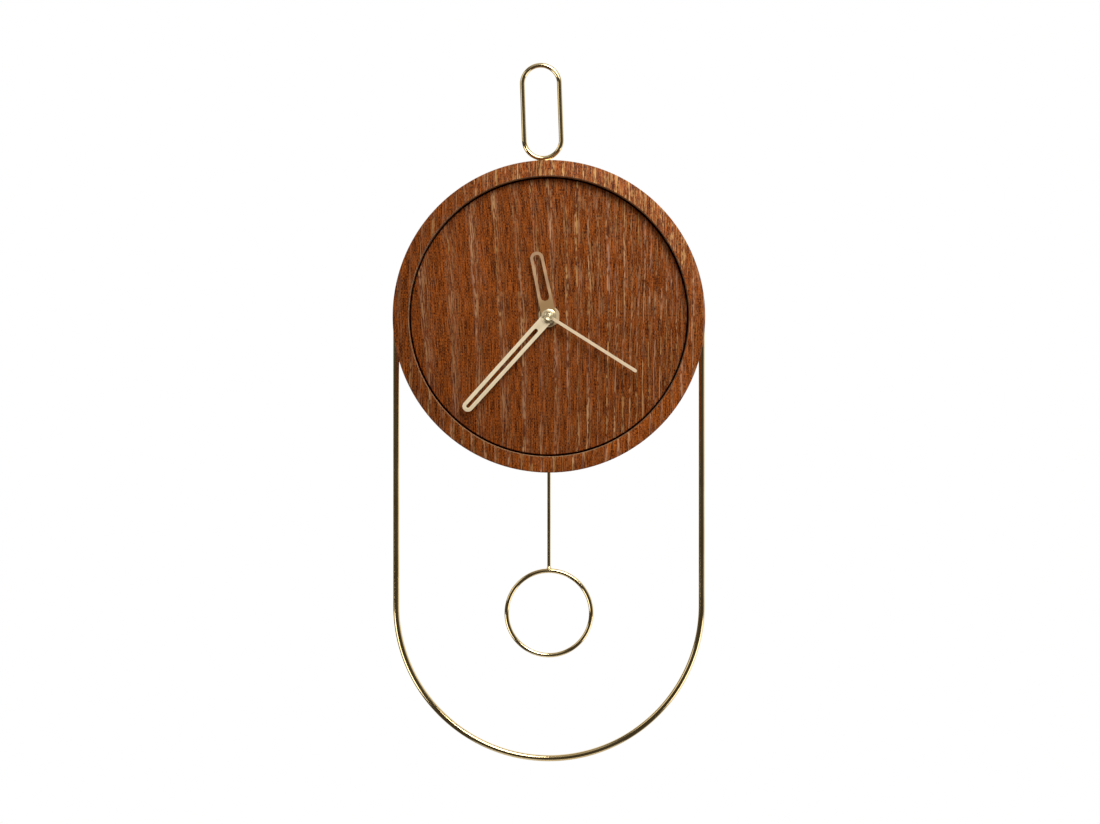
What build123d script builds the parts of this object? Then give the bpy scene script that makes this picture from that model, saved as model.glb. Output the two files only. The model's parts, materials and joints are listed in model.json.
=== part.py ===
from build123d import *
import os
from math import cos, radians, sin, tan, tau

# Pendulum wall clock: a round veneered case with a recessed dial, on a brass wire frame with a hanging loop.
# A quartz movement behind the dial drives three hands through a wheel train and keeps the pendulum swinging.
# +Z is up, the clock faces -Y, the wall is the plane y = 0 and the hands turn about the Y axis.
# Heights are distances from the wall towards the front. Sizes are in millimetres and angles in degrees.

# Case and dial
CASE_DIAMETER = 220.0
CASE_DEPTH = 42.0
RIM_WIDTH = 11.5
RIM_FALL = 2.0
RIM_ROUND = 1.2
RIM_EASE = 0.5
LEDGE_WIDTH = 10.5
DIAL_RECESS = 7.0
DIAL_THICKNESS = 4.0
DIAL_GAP = 1.2
DIAL_EASE = 0.4
DIAL_BORE_PLAY = 0.2

# Wire frame, hanging loop and the tabs that hold them to the case
FRAME_WIRE = 4.4
FRAME_OVERHANG = 1.3
FRAME_RISE = 1.5
FRAME_DROP = 207.0
FRAME_PLAY = 0.15
LOOP_WIRE = 3.5
LOOP_WIDTH = 30.0
LOOP_HEIGHT = 70.0
LOOP_LEAN = 2.0
BRAZE_DEPTH = 0.6
TAB_BEARINGS = (20.0, 65.0, 115.0, 160.0)
TAB_LENGTH = 12.0
TAB_WIDTH = 11.0
TAB_THICKNESS = 2.0
TAB_SINK = 0.6
TAB_CORNER = 2.5
TAB_PLAY = 0.2
SCREW_DIAMETER = 3.0
SCREW_HEAD = 5.6
SCREW_LENGTH = 15.0
SCREW_POINT = 2.5

# Hub hardware
BUSH_DIAMETER = 8.0
BUSH_PROUD = 0.4
GASKET_DIAMETER = 22.0
GASKET_THICKNESS = 1.0
WASHER_DIAMETER = 14.2
WASHER_THICKNESS = 0.6
NUT_ACROSS = 14.6
NUT_THICKNESS = 2.2
NUT_CHAMFER = 0.5

# Hands, with their angles clockwise from twelve
HOUR_ANGLE = -11.7
HOUR_LENGTH = 46.4
HOUR_ROOT = 10.4
HOUR_TIP = 9.4
HOUR_BORDER = 2.2
HOUR_SLOT_START = 11.2
MINUTE_ANGLE = 222.0
MINUTE_LENGTH = 89.0
MINUTE_ROOT = 8.2
MINUTE_TIP = 7.7
MINUTE_BORDER = 2.7
MINUTE_SLOT_START = 12.3
SECOND_ANGLE = 122.3
SECOND_LENGTH = 73.0
SECOND_WIDTH = 2.2
HAND_THICKNESS = 0.6
COLLET_DIAMETER = 10.4
COLLET_HEIGHT = 1.6
COLLET_SETBACK = 0.4
COLLET_EASE = 0.3
COLLET_GAP = 0.3
CAP_DIAMETER = 6.8
CAP_HEIGHT = 2.0
CAP_BEVEL = 0.5
CAP_BORE_DEPTH = 1.2

# Movement housing and battery
HOUSING_WALL = 1.4
HOUSING_PLATE = 1.5
HOUSING_CORNER = 4.0
HOUSING_PLAY = 0.8
COVER_LIP = 1.0
COVER_LIP_HEIGHT = 1.2
COVER_PLAY = 0.1
PARTITION = 1.0
BATTERY_DIAMETER = 14.2
BATTERY_LENGTH = 50.5
BATTERY_NUB = 1.0
BATTERY_NUB_DIAMETER = 5.4
BATTERY_EASE = 0.5
BATTERY_PLAY = 0.3
BATTERY_SINK = 0.5
CONTACT_ROOM = 1.4
CONTACT_STRIP = 0.4
CONTACT_WIDTH = 8.0
CONTACT_SPAN = 12.0
CONTACT_TAIL = 3.0
CONTACT_FOOT = 2.6
CONTACT_PLAY = 0.1

# Wheel train: teeth, modules, and the bearings of its arbors, counter-clockwise from three o'clock
SECONDS_TEETH = 50
THIRD_LEAVES = 10
SECONDS_MODULE = 0.40
THIRD_TEETH = 48
ROTOR_LEAVES = 8
ROTOR_MODULE = 0.36
MINUTE_TEETH = 64
FOURTH_LEAVES = 8
MINUTE_MODULE = 0.32
FOURTH_TEETH = 60
SECONDS_LEAVES = 8
REVERSE_TEETH = 36
CANNON_LEAVES = 12
REVERSE_MODULE = 0.50
HOUR_TEETH = 40
REVERSE_LEAVES = 10
THIRD_BEARING = 40.0
ROTOR_BEARING = 15.0
FOURTH_BEARING = 180.0
REVERSE_BEARING = 112.0
# Flanks from root to tip: height over the pitch circle and half thickness, both in modules
WHEEL_FLANK = ((-1.35, 0.86), (0.95, 0.28))
PINION_FLANK = ((-1.45, 0.50), (0.0, 0.50), (0.60, 0.22))
WHEEL_FACE = 1.2
PINION_OVERLAP = 0.35
TRAIN_FRONT_PLAY = 0.6
TRAIN_REAR_PLAY = 2.5
TRAIN_EDGE_PLAY = 1.6
ARBOR_RADIUS = 0.6
PIVOT_RADIUS = 0.4
PIVOT_DEPTH = 0.9
SHOULDER_PLAY = 0.15
SECONDS_ARBOR_RADIUS = 0.75
MINUTE_TUBE_WALL = 0.9
HOUR_TUBE_WALL = 0.85
REVERSE_ARBOR_RADIUS = 1.0
CLUTCH_FLANGE = 0.7
CLUTCH_DISC = 0.45
CLUTCH_PLAY = 0.05
RUNNING_CLEARANCE = 0.05
SEAT_CLEARANCE = 0.02
KNOB_DIAMETER = 15.0
KNOB_HEIGHT = 4.5
KNOB_FLOOR = 1.5
KNOB_FLUTES = 14
KNOB_FLUTE_RADIUS = 1.1
KNOB_GAP = 0.3

# Stepping motor and circuit
MAGNET_RADIUS = 3.0
MAGNET_LENGTH = 2.8
MAGNET_GAP = 0.6
STATOR_THICKNESS = 0.8
STATOR_EYE_WALL = 2.6
STATOR_ARM = 3.0
COIL_RISE = 11.2
COIL_OFFSET = 3.9
CORE_LENGTH = 22.0
CORE_WIDTH = 4.0
BOBBIN_LENGTH = 15.0
BOBBIN_FLANGE = 8.6
BOBBIN_FLANGE_THICKNESS = 0.9
BOBBIN_WALL = 0.7
WINDING_INSET = 0.4
WINDING_ROUND = 2.0
MOTOR_POST_RADIUS = 1.4
MOTOR_SCREW_RADIUS = 0.6
MOTOR_SCREW_HEAD = 1.3
MOTOR_SCREW_HEAD_HEIGHT = 0.7
MOTOR_SCREW_GRIP = 2.5
BOARD_THICKNESS = 1.0
BOARD_WIDTH = 6.0
CRYSTAL_RADIUS = 1.0
CRYSTAL_LENGTH = 6.0
CHIP_RADIUS = 2.4
CHIP_HEIGHT = 0.8
CHIP_ROUND = 0.4
PARTS_MARGIN = 9.0

# Pendulum and its drive
SWING = 8.0
PIVOT_MARGIN = 5.0
ARM_PIVOT_RADIUS = 1.0
ARM_GAP = 0.6
ARM_THICKNESS = 3.0
ARM_HEAD = 4.0
ARM_MAGNET_REACH = 28.0
ARM_MAGNET_RADIUS = 5.0
ARM_MAGNET_THICKNESS = 2.2
ARM_MAGNET_WALL = 2.0
ARM_LENGTH = 45.0
ARM_FOOT = 3.0
RETAINER_RADIUS = 2.6
RETAINER_THICKNESS = 0.8
RETAINER_GAP = 0.2
PEG_RADIUS = 1.3
PEG_NOSE = 0.5
PEG_NOSE_LENGTH = 0.7
EYE_PLAY = 0.6
ROD_DIAMETER = 2.4
RING_DIAMETER = 63.4
RING_WIRE = 3.2
PENDULUM_LENGTH = 176.5
NOTCH_PLAY = 3.0
DRIVE_COIL_DIAMETER = 17.0
DRIVE_COIL_BORE = 7.0
DRIVE_COIL_HEIGHT = 6.0


def slab(face, low, high):
    """A face drawn as seen from the front, thickened between two heights."""
    return extrude(Plane.XZ.offset(low) * face, high - low)


def disc(radius, low, high, place=(0, 0)):
    """A round bar square to the wall, with its axis at a place on the dial."""
    return slab(Pos(*place) * Circle(radius), low, high)


def turned(*profile):
    """A piece turned about the hands' axis from corners given as radius and height."""
    return revolve(make_face(Polyline(*[(r, -h) for r, h in profile], close=True)), Axis.Y)


def polar(radius, bearing):
    """The place at a distance and bearing from the hands' axis."""
    return (radius * cos(radians(bearing)), radius * sin(radians(bearing)))


def centre_distance(module, wheel, pinion):
    return module * (wheel + pinion) / 2


def tip_radius(module, teeth, flank):
    return module * (teeth / 2 + flank[-1][0])


def gear_face(teeth, module, flank, phase):
    """A toothed disc with the middle of one tooth at the phase angle."""
    pitch_radius = module * teeth / 2
    points = []
    for tooth in range(teeth):
        middle = radians(phase) + tau * tooth / teeth
        for side, steps in ((-1, flank), (1, flank[::-1])):
            for height, half in steps:
                radius = pitch_radius + height * module
                angle = middle + side * half * module / max(radius, pitch_radius)
                points.append((radius * cos(angle), radius * sin(angle)))
    return make_face(Polyline(*points, close=True))


def meshing_phase(teeth, phase, mate_teeth, bearing):
    """The phase of a mate at a bearing, with its gap facing a tooth on the line of centres."""
    pitches = teeth * (bearing - phase) / 360
    return bearing + 180 - (0.5 - pitches) * 360 / mate_teeth


def bent_wire(half_width, drop, wire):
    """A wire bent to a stadium: two half turns a drop apart, joined by straight legs."""
    legs = [
        ThreePointArc((-half_width, 0), (0, half_width), (half_width, 0)),
        Line((half_width, 0), (half_width, -drop)),
        ThreePointArc((half_width, -drop), (0, -drop - half_width), (-half_width, -drop)),
        Line((-half_width, -drop), (-half_width, 0)),
    ]
    path = Plane.XZ * Wire(legs)
    return sweep(Plane(origin=path @ 0, z_dir=path % 0) * Circle(wire / 2), path)


# Heights of the case, from the rim's face back to the movement
case_radius = CASE_DIAMETER / 2
rim_inner = case_radius - RIM_WIDTH
hollow_radius = rim_inner - LEDGE_WIDTH
dial_front = CASE_DEPTH - DIAL_RECESS
dial_back = dial_front - DIAL_THICKNESS
housing_front = dial_back - GASKET_THICKNESS
plate_inside = housing_front - HOUSING_PLATE
battery_radius = BATTERY_DIAMETER / 2
battery_height = plate_inside - BATTERY_PLAY - battery_radius
housing_back = battery_height - battery_radius - BATTERY_SINK
cover_inside = housing_back + HOUSING_PLATE

# Hub stack, from the dial outwards
washer_front = dial_front + WASHER_THICKNESS
nut_front = washer_front + NUT_THICKNESS
bush_end = nut_front + BUSH_PROUD
hour_low = bush_end + COLLET_GAP
hour_high = hour_low + COLLET_HEIGHT
minute_low = hour_high + COLLET_GAP
minute_high = minute_low + COLLET_HEIGHT
second_low = minute_high + COLLET_GAP
second_high = second_low + HAND_THICKNESS

# Layers of the train, from the hour wheel behind the front plate to the seconds wheel over the cover
layer_step = (plate_inside - cover_inside - TRAIN_FRONT_PLAY - TRAIN_REAR_PLAY - WHEEL_FACE) / 4
tops = [plate_inside - TRAIN_FRONT_PLAY - layer * layer_step for layer in range(5)]
layers = [(top - WHEEL_FACE, top) for top in tops]
hour_layer, reverse_layer, minute_layer, fourth_layer, seconds_layer = layers

# Arbors of the train, and the modules that follow from sharing them
third_at = Vector(*polar(centre_distance(SECONDS_MODULE, SECONDS_TEETH, THIRD_LEAVES), THIRD_BEARING))
rotor_reach = centre_distance(ROTOR_MODULE, THIRD_TEETH, ROTOR_LEAVES)
rotor_at = third_at + Vector(*polar(rotor_reach, ROTOR_BEARING))
fourth_reach = centre_distance(MINUTE_MODULE, MINUTE_TEETH, FOURTH_LEAVES)
fourth_at = Vector(*polar(fourth_reach, FOURTH_BEARING))
fourth_module = 2 * fourth_reach / (FOURTH_TEETH + SECONDS_LEAVES)
reverse_reach = centre_distance(REVERSE_MODULE, REVERSE_TEETH, CANNON_LEAVES)
reverse_at = Vector(*polar(reverse_reach, REVERSE_BEARING))
hour_module = 2 * reverse_reach / (HOUR_TEETH + REVERSE_LEAVES)
minute_bore = SECONDS_ARBOR_RADIUS + RUNNING_CLEARANCE
minute_tube = minute_bore + MINUTE_TUBE_WALL
hour_bore = minute_tube + RUNNING_CLEARANCE
hour_tube = hour_bore + HOUR_TUBE_WALL

# Motor, and the compartments of the housing: train above, battery across the middle, pendulum drive below
coil_x = rotor_at.X - COIL_OFFSET
coil_z = rotor_at.Y + COIL_RISE
magnet_low = fourth_layer[1] + MAGNET_GAP
stator_low = magnet_low + (MAGNET_LENGTH - STATOR_THICKNESS) / 2
stator_high = stator_low + STATOR_THICKNESS
core_low = stator_low - STATOR_THICKNESS
widest_wheel = max(
    tip_radius(MINUTE_MODULE, MINUTE_TEETH, WHEEL_FLANK),
    tip_radius(fourth_module, FOURTH_TEETH, WHEEL_FLANK),
    tip_radius(SECONDS_MODULE, SECONDS_TEETH, WHEEL_FLANK),
)
bay_top = -widest_wheel - TRAIN_EDGE_PLAY - PARTITION
battery_z = bay_top - BATTERY_PLAY - battery_radius
bay_bottom = battery_z - battery_radius - BATTERY_PLAY
pivot_z = bay_bottom - PARTITION - PIVOT_MARGIN
magnet_z = pivot_z - ARM_MAGNET_REACH
housing_top = coil_z + BOBBIN_FLANGE / 2 + HOUSING_PLAY + HOUSING_WALL
housing_bottom = magnet_z - DRIVE_COIL_DIAMETER / 2 - COVER_LIP - HOUSING_PLAY - HOUSING_WALL
motor_reach = coil_x + CORE_LENGTH / 2
inside_half = max(BATTERY_LENGTH / 2 + CONTACT_ROOM, motor_reach + HOUSING_PLAY)
housing_half = inside_half + HOUSING_WALL
board_top = bay_top + PARTITION + HOUSING_PLAY / 2 + BOARD_WIDTH

# Pendulum: the arm swings behind the cover, and the rod hangs from its peg
arm_front = housing_back - ARM_GAP
arm_back = arm_front - ARM_THICKNESS
peg_z = pivot_z - ARM_LENGTH
rod_radius = ROD_DIAMETER / 2
rod_height = arm_back - RETAINER_GAP - rod_radius
ring_z = pivot_z - PENDULUM_LENGTH
ring_mid = (RING_DIAMETER - RING_WIRE) / 2

parts = {}

# Wire frame: one brass wire bent to a stadium and lying against the wall, concentric with the case above
frame_half = case_radius + FRAME_OVERHANG - FRAME_WIRE / 2
frame_height = FRAME_WIRE / 2
frame_wire = Pos(0, -frame_height, FRAME_RISE) * bent_wire(frame_half, FRAME_DROP, FRAME_WIRE)
parts["frame_wire"] = frame_wire

# Hanging loop: a thinner wire brazed on the crown of the frame, where its foot is coped to the frame's round
loop_half = (LOOP_WIDTH - LOOP_WIRE) / 2
loop_drop = LOOP_HEIGHT - LOOP_WIDTH
loop_crown = frame_half + FRAME_WIRE / 2 - BRAZE_DEPTH + LOOP_HEIGHT - LOOP_WIDTH / 2
loop = Pos(0, -frame_height, loop_crown) * bent_wire(loop_half, loop_drop, LOOP_WIRE)
parts["hanging_loop"] = Pos(0, 0, FRAME_RISE) * Rot(0, -LOOP_LEAN, 0) * loop - frame_wire

# Tabs: flat plates brazed inside the frame's bend, sunk in the case's back, each with a countersunk screw
tab_inner = frame_half - FRAME_WIRE / 2 - TAB_LENGTH
tab_middle = (tab_inner + frame_half - FRAME_WIRE / 2) / 2
tab_high = TAB_SINK + TAB_THICKNESS
head_depth = (SCREW_HEAD - SCREW_DIAMETER) / 2


def on_tab(bearing, shape):
    """Places a face drawn on a tab at three o'clock at the tab's own bearing on the frame's bend."""
    return Pos(0, FRAME_RISE) * Rot(0, 0, bearing) * shape


def screw_place(bearing):
    place = polar(tab_middle, bearing)
    return (place[0], place[1] + FRAME_RISE)


def screw(length, play):
    """A countersunk wood screw with its head at the wall and its point to the front, larger by the play."""
    shank = SCREW_DIAMETER / 2 + play
    return turned(
        (0, 0),
        (SCREW_HEAD / 2 + play, 0),
        (shank, head_depth),
        (shank, length - SCREW_POINT),
        (0, length),
    )


tab_span = frame_half - tab_inner
tab_blank = Pos(tab_inner + tab_span / 2, 0) * RectangleRounded(tab_span, TAB_WIDTH, TAB_CORNER)
tabs = []
screws = []
screw_holes = []
for bearing in TAB_BEARINGS:
    x, z = screw_place(bearing)
    seat = Pos(x, -TAB_SINK, z)
    hole = seat * screw(SCREW_LENGTH + SEAT_CLEARANCE, SEAT_CLEARANCE)
    tabs.append(slab(on_tab(bearing, tab_blank), TAB_SINK, tab_high) - frame_wire - hole)
    screws.append(seat * screw(SCREW_LENGTH, 0))
    screw_holes.append(hole)
parts["frame_tabs"] = Compound(tabs)
parts["tab_screws"] = Compound(screws)

# Case: a veneered hoop, thick at the back, with a raised rim round the dial and a ledge that the dial lies on
# The rim's face falls back a little towards its outer edge
rim_front = CASE_DEPTH - RIM_FALL
hoop_profile = make_face(
    Polyline(
        (hollow_radius, 0),
        (case_radius, 0),
        (case_radius, -rim_front),
        (rim_inner, -CASE_DEPTH),
        (rim_inner, -dial_back),
        (hollow_radius, -dial_back),
        close=True,
    )
)
rim_corner = hoop_profile.vertices().sort_by_distance((case_radius, -rim_front))[0]
hoop_profile = fillet(rim_corner, RIM_ROUND)
rim_corner = hoop_profile.vertices().sort_by_distance((rim_inner, -CASE_DEPTH))[0]
hoop_profile = chamfer(rim_corner, RIM_EASE)
case_ring = revolve(hoop_profile, Axis.Y)
seat_half = frame_half - FRAME_WIRE / 2 - FRAME_PLAY
seat_core = Pos(0, FRAME_RISE) * Circle(seat_half)
seat_core += Pos(0, FRAME_RISE - case_radius) * Rectangle(2 * seat_half, 2 * case_radius)
seat_face = Rectangle(2 * CASE_DIAMETER, 2 * CASE_DIAMETER) - seat_core
case_ring -= slab(seat_face, 0, FRAME_WIRE + FRAME_PLAY)
pocket_inner = tab_inner - TAB_PLAY
pocket_length = seat_half + TAB_CORNER + FRAME_PLAY - pocket_inner
pocket_blank = RectangleRounded(pocket_length, TAB_WIDTH + 2 * TAB_PLAY, TAB_CORNER)
pocket = Pos(pocket_inner + pocket_length / 2, 0) * pocket_blank
for bearing in TAB_BEARINGS:
    case_ring -= slab(on_tab(bearing, pocket), 0, tab_high)
for hole in screw_holes:
    case_ring -= hole
notch_reach = (case_radius + pivot_z) * tan(radians(SWING))
notch_half = notch_reach + rod_radius / cos(radians(SWING)) + NOTCH_PLAY
notch_top = rod_height + rod_radius + NOTCH_PLAY
notch_length = case_radius - hollow_radius * cos(radians(SWING))
notch = Pos(0, -case_radius) * Rectangle(2 * notch_half, 2 * notch_length)
parts["case_ring"] = case_ring - slab(notch, 0, notch_top)

# Dial: a veneered disc on the ledge, with a narrow shadow gap to the rim
dial_radius = rim_inner - DIAL_GAP
bush_radius = BUSH_DIAMETER / 2
dial_bore = bush_radius + DIAL_BORE_PLAY
parts["dial_panel"] = turned(
    (dial_bore, dial_back),
    (dial_radius, dial_back),
    (dial_radius, dial_front - DIAL_EASE),
    (dial_radius - DIAL_EASE, dial_front),
    (dial_bore, dial_front),
)

# Hub hardware: rubber between movement and dial, then washer and nut on the movement's bush
bush_seat = bush_radius + SEAT_CLEARANCE
parts["rubber_gasket"] = slab(Circle(GASKET_DIAMETER / 2) - Circle(bush_seat), housing_front, dial_back)
parts["dial_washer"] = slab(Circle(WASHER_DIAMETER / 2) - Circle(bush_seat), dial_front, washer_front)
nut_face = RegularPolygon(NUT_ACROSS / 2, 6, major_radius=False, rotation=30) - Circle(bush_seat)
nut_corner = NUT_ACROSS / 3**0.5
nut_turned = turned(
    (0, washer_front),
    (nut_corner, washer_front),
    (nut_corner, nut_front - NUT_CHAMFER),
    (NUT_ACROSS / 2 - NUT_CHAMFER, nut_front),
    (0, nut_front),
)
parts["dial_nut"] = slab(nut_face, washer_front, nut_front) & nut_turned


# Hands: stamped plates on turned collets, the hour and minute hands with a long slot
def slotted_hand(length, root, tip, border, slot_start, angle):
    """A hand that tapers from root to tip width, round at both ends, with a slot that leaves a border."""
    blank = make_hull(Circle(root / 2).edges() + (Pos(0, length - tip / 2) * Circle(tip / 2)).edges())
    slot_root = root / 2 - border
    slot_tip = tip / 2 - border
    slot = make_hull(
        (Pos(0, slot_start + slot_root) * Circle(slot_root)).edges()
        + (Pos(0, length - border - slot_tip) * Circle(slot_tip)).edges()
    )
    return Rot(0, 0, -angle) * (blank - slot)


def collet(bore, low, high):
    """The turned boss under and over a hand, with an eased front edge."""
    radius = COLLET_DIAMETER / 2
    eased = high - COLLET_EASE
    return turned((bore, low), (radius, low), (radius, eased), (radius - COLLET_EASE, high), (bore, high))


def on_collet(face, tube, low):
    """A hand's plate on its collet, bored to sit on a tube."""
    bore = tube + SEAT_CLEARANCE
    plate_low = low + COLLET_SETBACK
    plate = slab(face - Circle(bore), plate_low, plate_low + HAND_THICKNESS)
    return plate + collet(bore, low, low + COLLET_HEIGHT)


hour_face = slotted_hand(HOUR_LENGTH, HOUR_ROOT, HOUR_TIP, HOUR_BORDER, HOUR_SLOT_START, HOUR_ANGLE)
parts["hour_hand"] = on_collet(hour_face, hour_tube, hour_low)
minute_sizes = (MINUTE_LENGTH, MINUTE_ROOT, MINUTE_TIP, MINUTE_BORDER, MINUTE_SLOT_START, MINUTE_ANGLE)
minute_face = slotted_hand(*minute_sizes)
parts["minute_hand"] = on_collet(minute_face, minute_tube, minute_low)
cap_radius = CAP_DIAMETER / 2
second_straight = SECOND_LENGTH - SECOND_WIDTH / 2
second_face = Pos(0, second_straight / 2) * Rectangle(SECOND_WIDTH, second_straight)
second_face += Pos(0, second_straight) * Circle(SECOND_WIDTH / 2)
second_face += Circle(cap_radius)
second_seat = SECONDS_ARBOR_RADIUS + SEAT_CLEARANCE
second_face = Rot(0, 0, -SECOND_ANGLE) * second_face - Circle(second_seat)
parts["second_hand"] = slab(second_face, second_low, second_high)
cap_front = second_high + CAP_HEIGHT
arbor_end = second_high + CAP_BORE_DEPTH
parts["second_cap"] = turned(
    (second_seat, second_high),
    (cap_radius, second_high),
    (cap_radius, cap_front - CAP_BEVEL),
    (cap_radius - CAP_BEVEL, cap_front),
    (0, cap_front),
    (0, arbor_end + SEAT_CLEARANCE),
    (second_seat, arbor_end + SEAT_CLEARANCE),
)


# Housing: a moulded tray with the bush, closed from behind by a cover with the battery opening
def housing_outline(inset):
    """The housing's rounded outline, drawn in by an inset."""
    height = housing_top - housing_bottom - 2 * inset
    middle = (housing_top + housing_bottom) / 2
    return Pos(0, middle) * RectangleRounded(2 * (housing_half - inset), height, HOUSING_CORNER - inset)


def pivot_hole(place, low, high):
    return disc(PIVOT_RADIUS + RUNNING_CLEARANCE, low, high, place)


tail_inner = inside_half - CONTACT_PLAY - CONTACT_STRIP
base = slab(housing_outline(0), cover_inside, housing_front)
base -= slab(housing_outline(HOUSING_WALL), cover_inside, plate_inside)
partition = Rectangle(2 * inside_half + HOUSING_WALL, PARTITION)
base += slab(Pos(0, bay_top + PARTITION / 2) * partition, cover_inside + BOARD_THICKNESS, plate_inside)
base += slab(Pos(0, bay_bottom - PARTITION / 2) * partition, cover_inside + COVER_LIP_HEIGHT, plate_inside)
for side in (-1, 1):
    tail_gap = Rectangle(2 * (CONTACT_STRIP + 2 * CONTACT_PLAY), 2 * PARTITION)
    tail_way = Pos(side * inside_half, bay_top + PARTITION / 2) * tail_gap
    base -= slab(tail_way & housing_outline(HOUSING_WALL), cover_inside,
                 cover_inside + BOARD_THICKNESS + CONTACT_TAIL + CONTACT_PLAY)
post_places = [(coil_x + side * (CORE_LENGTH - STATOR_ARM) / 2, coil_z) for side in (-1, 1)]
for place in post_places:
    base += disc(MOTOR_POST_RADIUS, stator_high, plate_inside, place)
    base -= disc(MOTOR_SCREW_RADIUS + SEAT_CLEARANCE, stator_high, stator_high + MOTOR_SCREW_GRIP, place)
base += disc(bush_radius, housing_front, bush_end)
base -= disc(hour_tube + RUNNING_CLEARANCE, plate_inside, bush_end)
pivot_room = PIVOT_DEPTH + SHOULDER_PLAY
for arbor in (third_at, fourth_at, rotor_at):
    base -= pivot_hole(arbor, plate_inside, plate_inside + pivot_room)
reverse_hole = REVERSE_ARBOR_RADIUS + RUNNING_CLEARANCE
base -= disc(reverse_hole, plate_inside, plate_inside + pivot_room, reverse_at)
parts["movement_base"] = base

lip_inset = HOUSING_WALL + COVER_PLAY
cover = slab(housing_outline(0), housing_back, cover_inside)
lip_face = housing_outline(lip_inset) - housing_outline(lip_inset + COVER_LIP)
break_height = board_top - bay_bottom + 2 * PARTITION
lip_face -= Pos(0, (board_top + bay_bottom) / 2) * Rectangle(2 * housing_half, break_height)
cover += slab(lip_face, cover_inside, cover_inside + COVER_LIP_HEIGHT)
bay_face = Rectangle(BATTERY_LENGTH + 2 * BATTERY_PLAY, BATTERY_DIAMETER + 2 * BATTERY_PLAY)
bay = Pos(0, battery_z) * bay_face
cover -= slab(bay, housing_back, cover_inside)
for arbor in (third_at, fourth_at, rotor_at, Vector(0, 0)):
    cover -= pivot_hole(arbor, cover_inside - pivot_room, cover_inside)
cover -= disc(reverse_hole, housing_back, cover_inside, reverse_at)
cover -= disc(ARM_PIVOT_RADIUS, housing_back, cover_inside, (0, pivot_z))
boss_radius = DRIVE_COIL_BORE / 2 - SEAT_CLEARANCE
cover += disc(boss_radius, cover_inside, cover_inside + DRIVE_COIL_HEIGHT, (0, magnet_z))
parts["movement_cover"] = cover


# Wheel train: each arbor carries a wheel and a pinion, moulded in one
def wheel(teeth, module, phase, layer, place=(0, 0)):
    return slab(Pos(*place) * gear_face(teeth, module, WHEEL_FLANK, phase), *layer)


def pinion(leaves, module, phase, layer, place=(0, 0)):
    """A pinion a little longer than the wheel in its layer."""
    face = gear_face(leaves, module, PINION_FLANK, phase)
    return slab(Pos(*place) * face, layer[0] - PINION_OVERLAP, layer[1] + PINION_OVERLAP)


def arbor_between_plates(place):
    """A thin arbor from the cover to the front plate, with a pivot at each end."""
    shaft = disc(ARBOR_RADIUS, cover_inside + SHOULDER_PLAY, plate_inside - SHOULDER_PLAY, place)
    return shaft + disc(PIVOT_RADIUS, cover_inside - PIVOT_DEPTH, plate_inside + PIVOT_DEPTH, place)


third_phase = meshing_phase(SECONDS_TEETH, 0, THIRD_LEAVES, THIRD_BEARING)
third = arbor_between_plates(third_at)
third += wheel(THIRD_TEETH, ROTOR_MODULE, 0, fourth_layer, third_at)
third += pinion(THIRD_LEAVES, SECONDS_MODULE, third_phase, seconds_layer, third_at)
parts["third_wheel"] = third

fourth_phase = meshing_phase(SECONDS_LEAVES, 0, FOURTH_TEETH, FOURTH_BEARING)
fourth_leaf_phase = meshing_phase(MINUTE_TEETH, 0, FOURTH_LEAVES, FOURTH_BEARING)
fourth = arbor_between_plates(fourth_at)
fourth += wheel(FOURTH_TEETH, fourth_module, fourth_phase, fourth_layer, fourth_at)
fourth += pinion(FOURTH_LEAVES, MINUTE_MODULE, fourth_leaf_phase, minute_layer, fourth_at)
parts["fourth_wheel"] = fourth

seconds = disc(SECONDS_ARBOR_RADIUS, cover_inside + SHOULDER_PLAY, arbor_end)
seconds += disc(PIVOT_RADIUS, cover_inside - PIVOT_DEPTH, cover_inside + SHOULDER_PLAY)
seconds += wheel(SECONDS_TEETH, SECONDS_MODULE, 0, seconds_layer)
parts["seconds_wheel"] = seconds + pinion(SECONDS_LEAVES, fourth_module, 0, fourth_layer)

# Friction clutch: the minute wheel turns on the minute arbor between a flange and the cannon pinion's foot
clutch_low = minute_layer[0] - CLUTCH_PLAY
clutch_high = minute_layer[1] + CLUTCH_PLAY
parts["minute_wheel"] = wheel(MINUTE_TEETH, MINUTE_MODULE, 0, minute_layer) - disc(hour_bore, *minute_layer)
cannon_low = reverse_layer[0] - PINION_OVERLAP
flange_radius = minute_tube + CLUTCH_FLANGE
arbor_low = clutch_low - CLUTCH_DISC
minute_arbor = disc(minute_tube, arbor_low, minute_high) + disc(flange_radius, arbor_low, clutch_low)
minute_arbor += disc(flange_radius, clutch_high, cannon_low)
minute_arbor += pinion(CANNON_LEAVES, REVERSE_MODULE, 0, reverse_layer)
parts["minute_arbor"] = minute_arbor - disc(minute_bore, arbor_low, minute_high)

reverse_phase = meshing_phase(CANNON_LEAVES, 0, REVERSE_TEETH, REVERSE_BEARING)
reverse_leaf_phase = meshing_phase(HOUR_TEETH, 0, REVERSE_LEAVES, REVERSE_BEARING)
knob_high = housing_back - KNOB_GAP
knob_low = knob_high - KNOB_HEIGHT
stem_end = knob_low + KNOB_FLOOR
reverse = disc(REVERSE_ARBOR_RADIUS, stem_end, plate_inside + PIVOT_DEPTH, reverse_at)
reverse += wheel(REVERSE_TEETH, REVERSE_MODULE, reverse_phase, reverse_layer, reverse_at)
reverse += pinion(REVERSE_LEAVES, hour_module, reverse_leaf_phase, hour_layer, reverse_at)
parts["reverse_wheel"] = reverse
knob_radius = KNOB_DIAMETER / 2
knob_face = Circle(knob_radius) - PolarLocations(knob_radius, KNOB_FLUTES) * Circle(KNOB_FLUTE_RADIUS)
knob = slab(Pos(*reverse_at) * knob_face, knob_low, knob_high)
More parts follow.
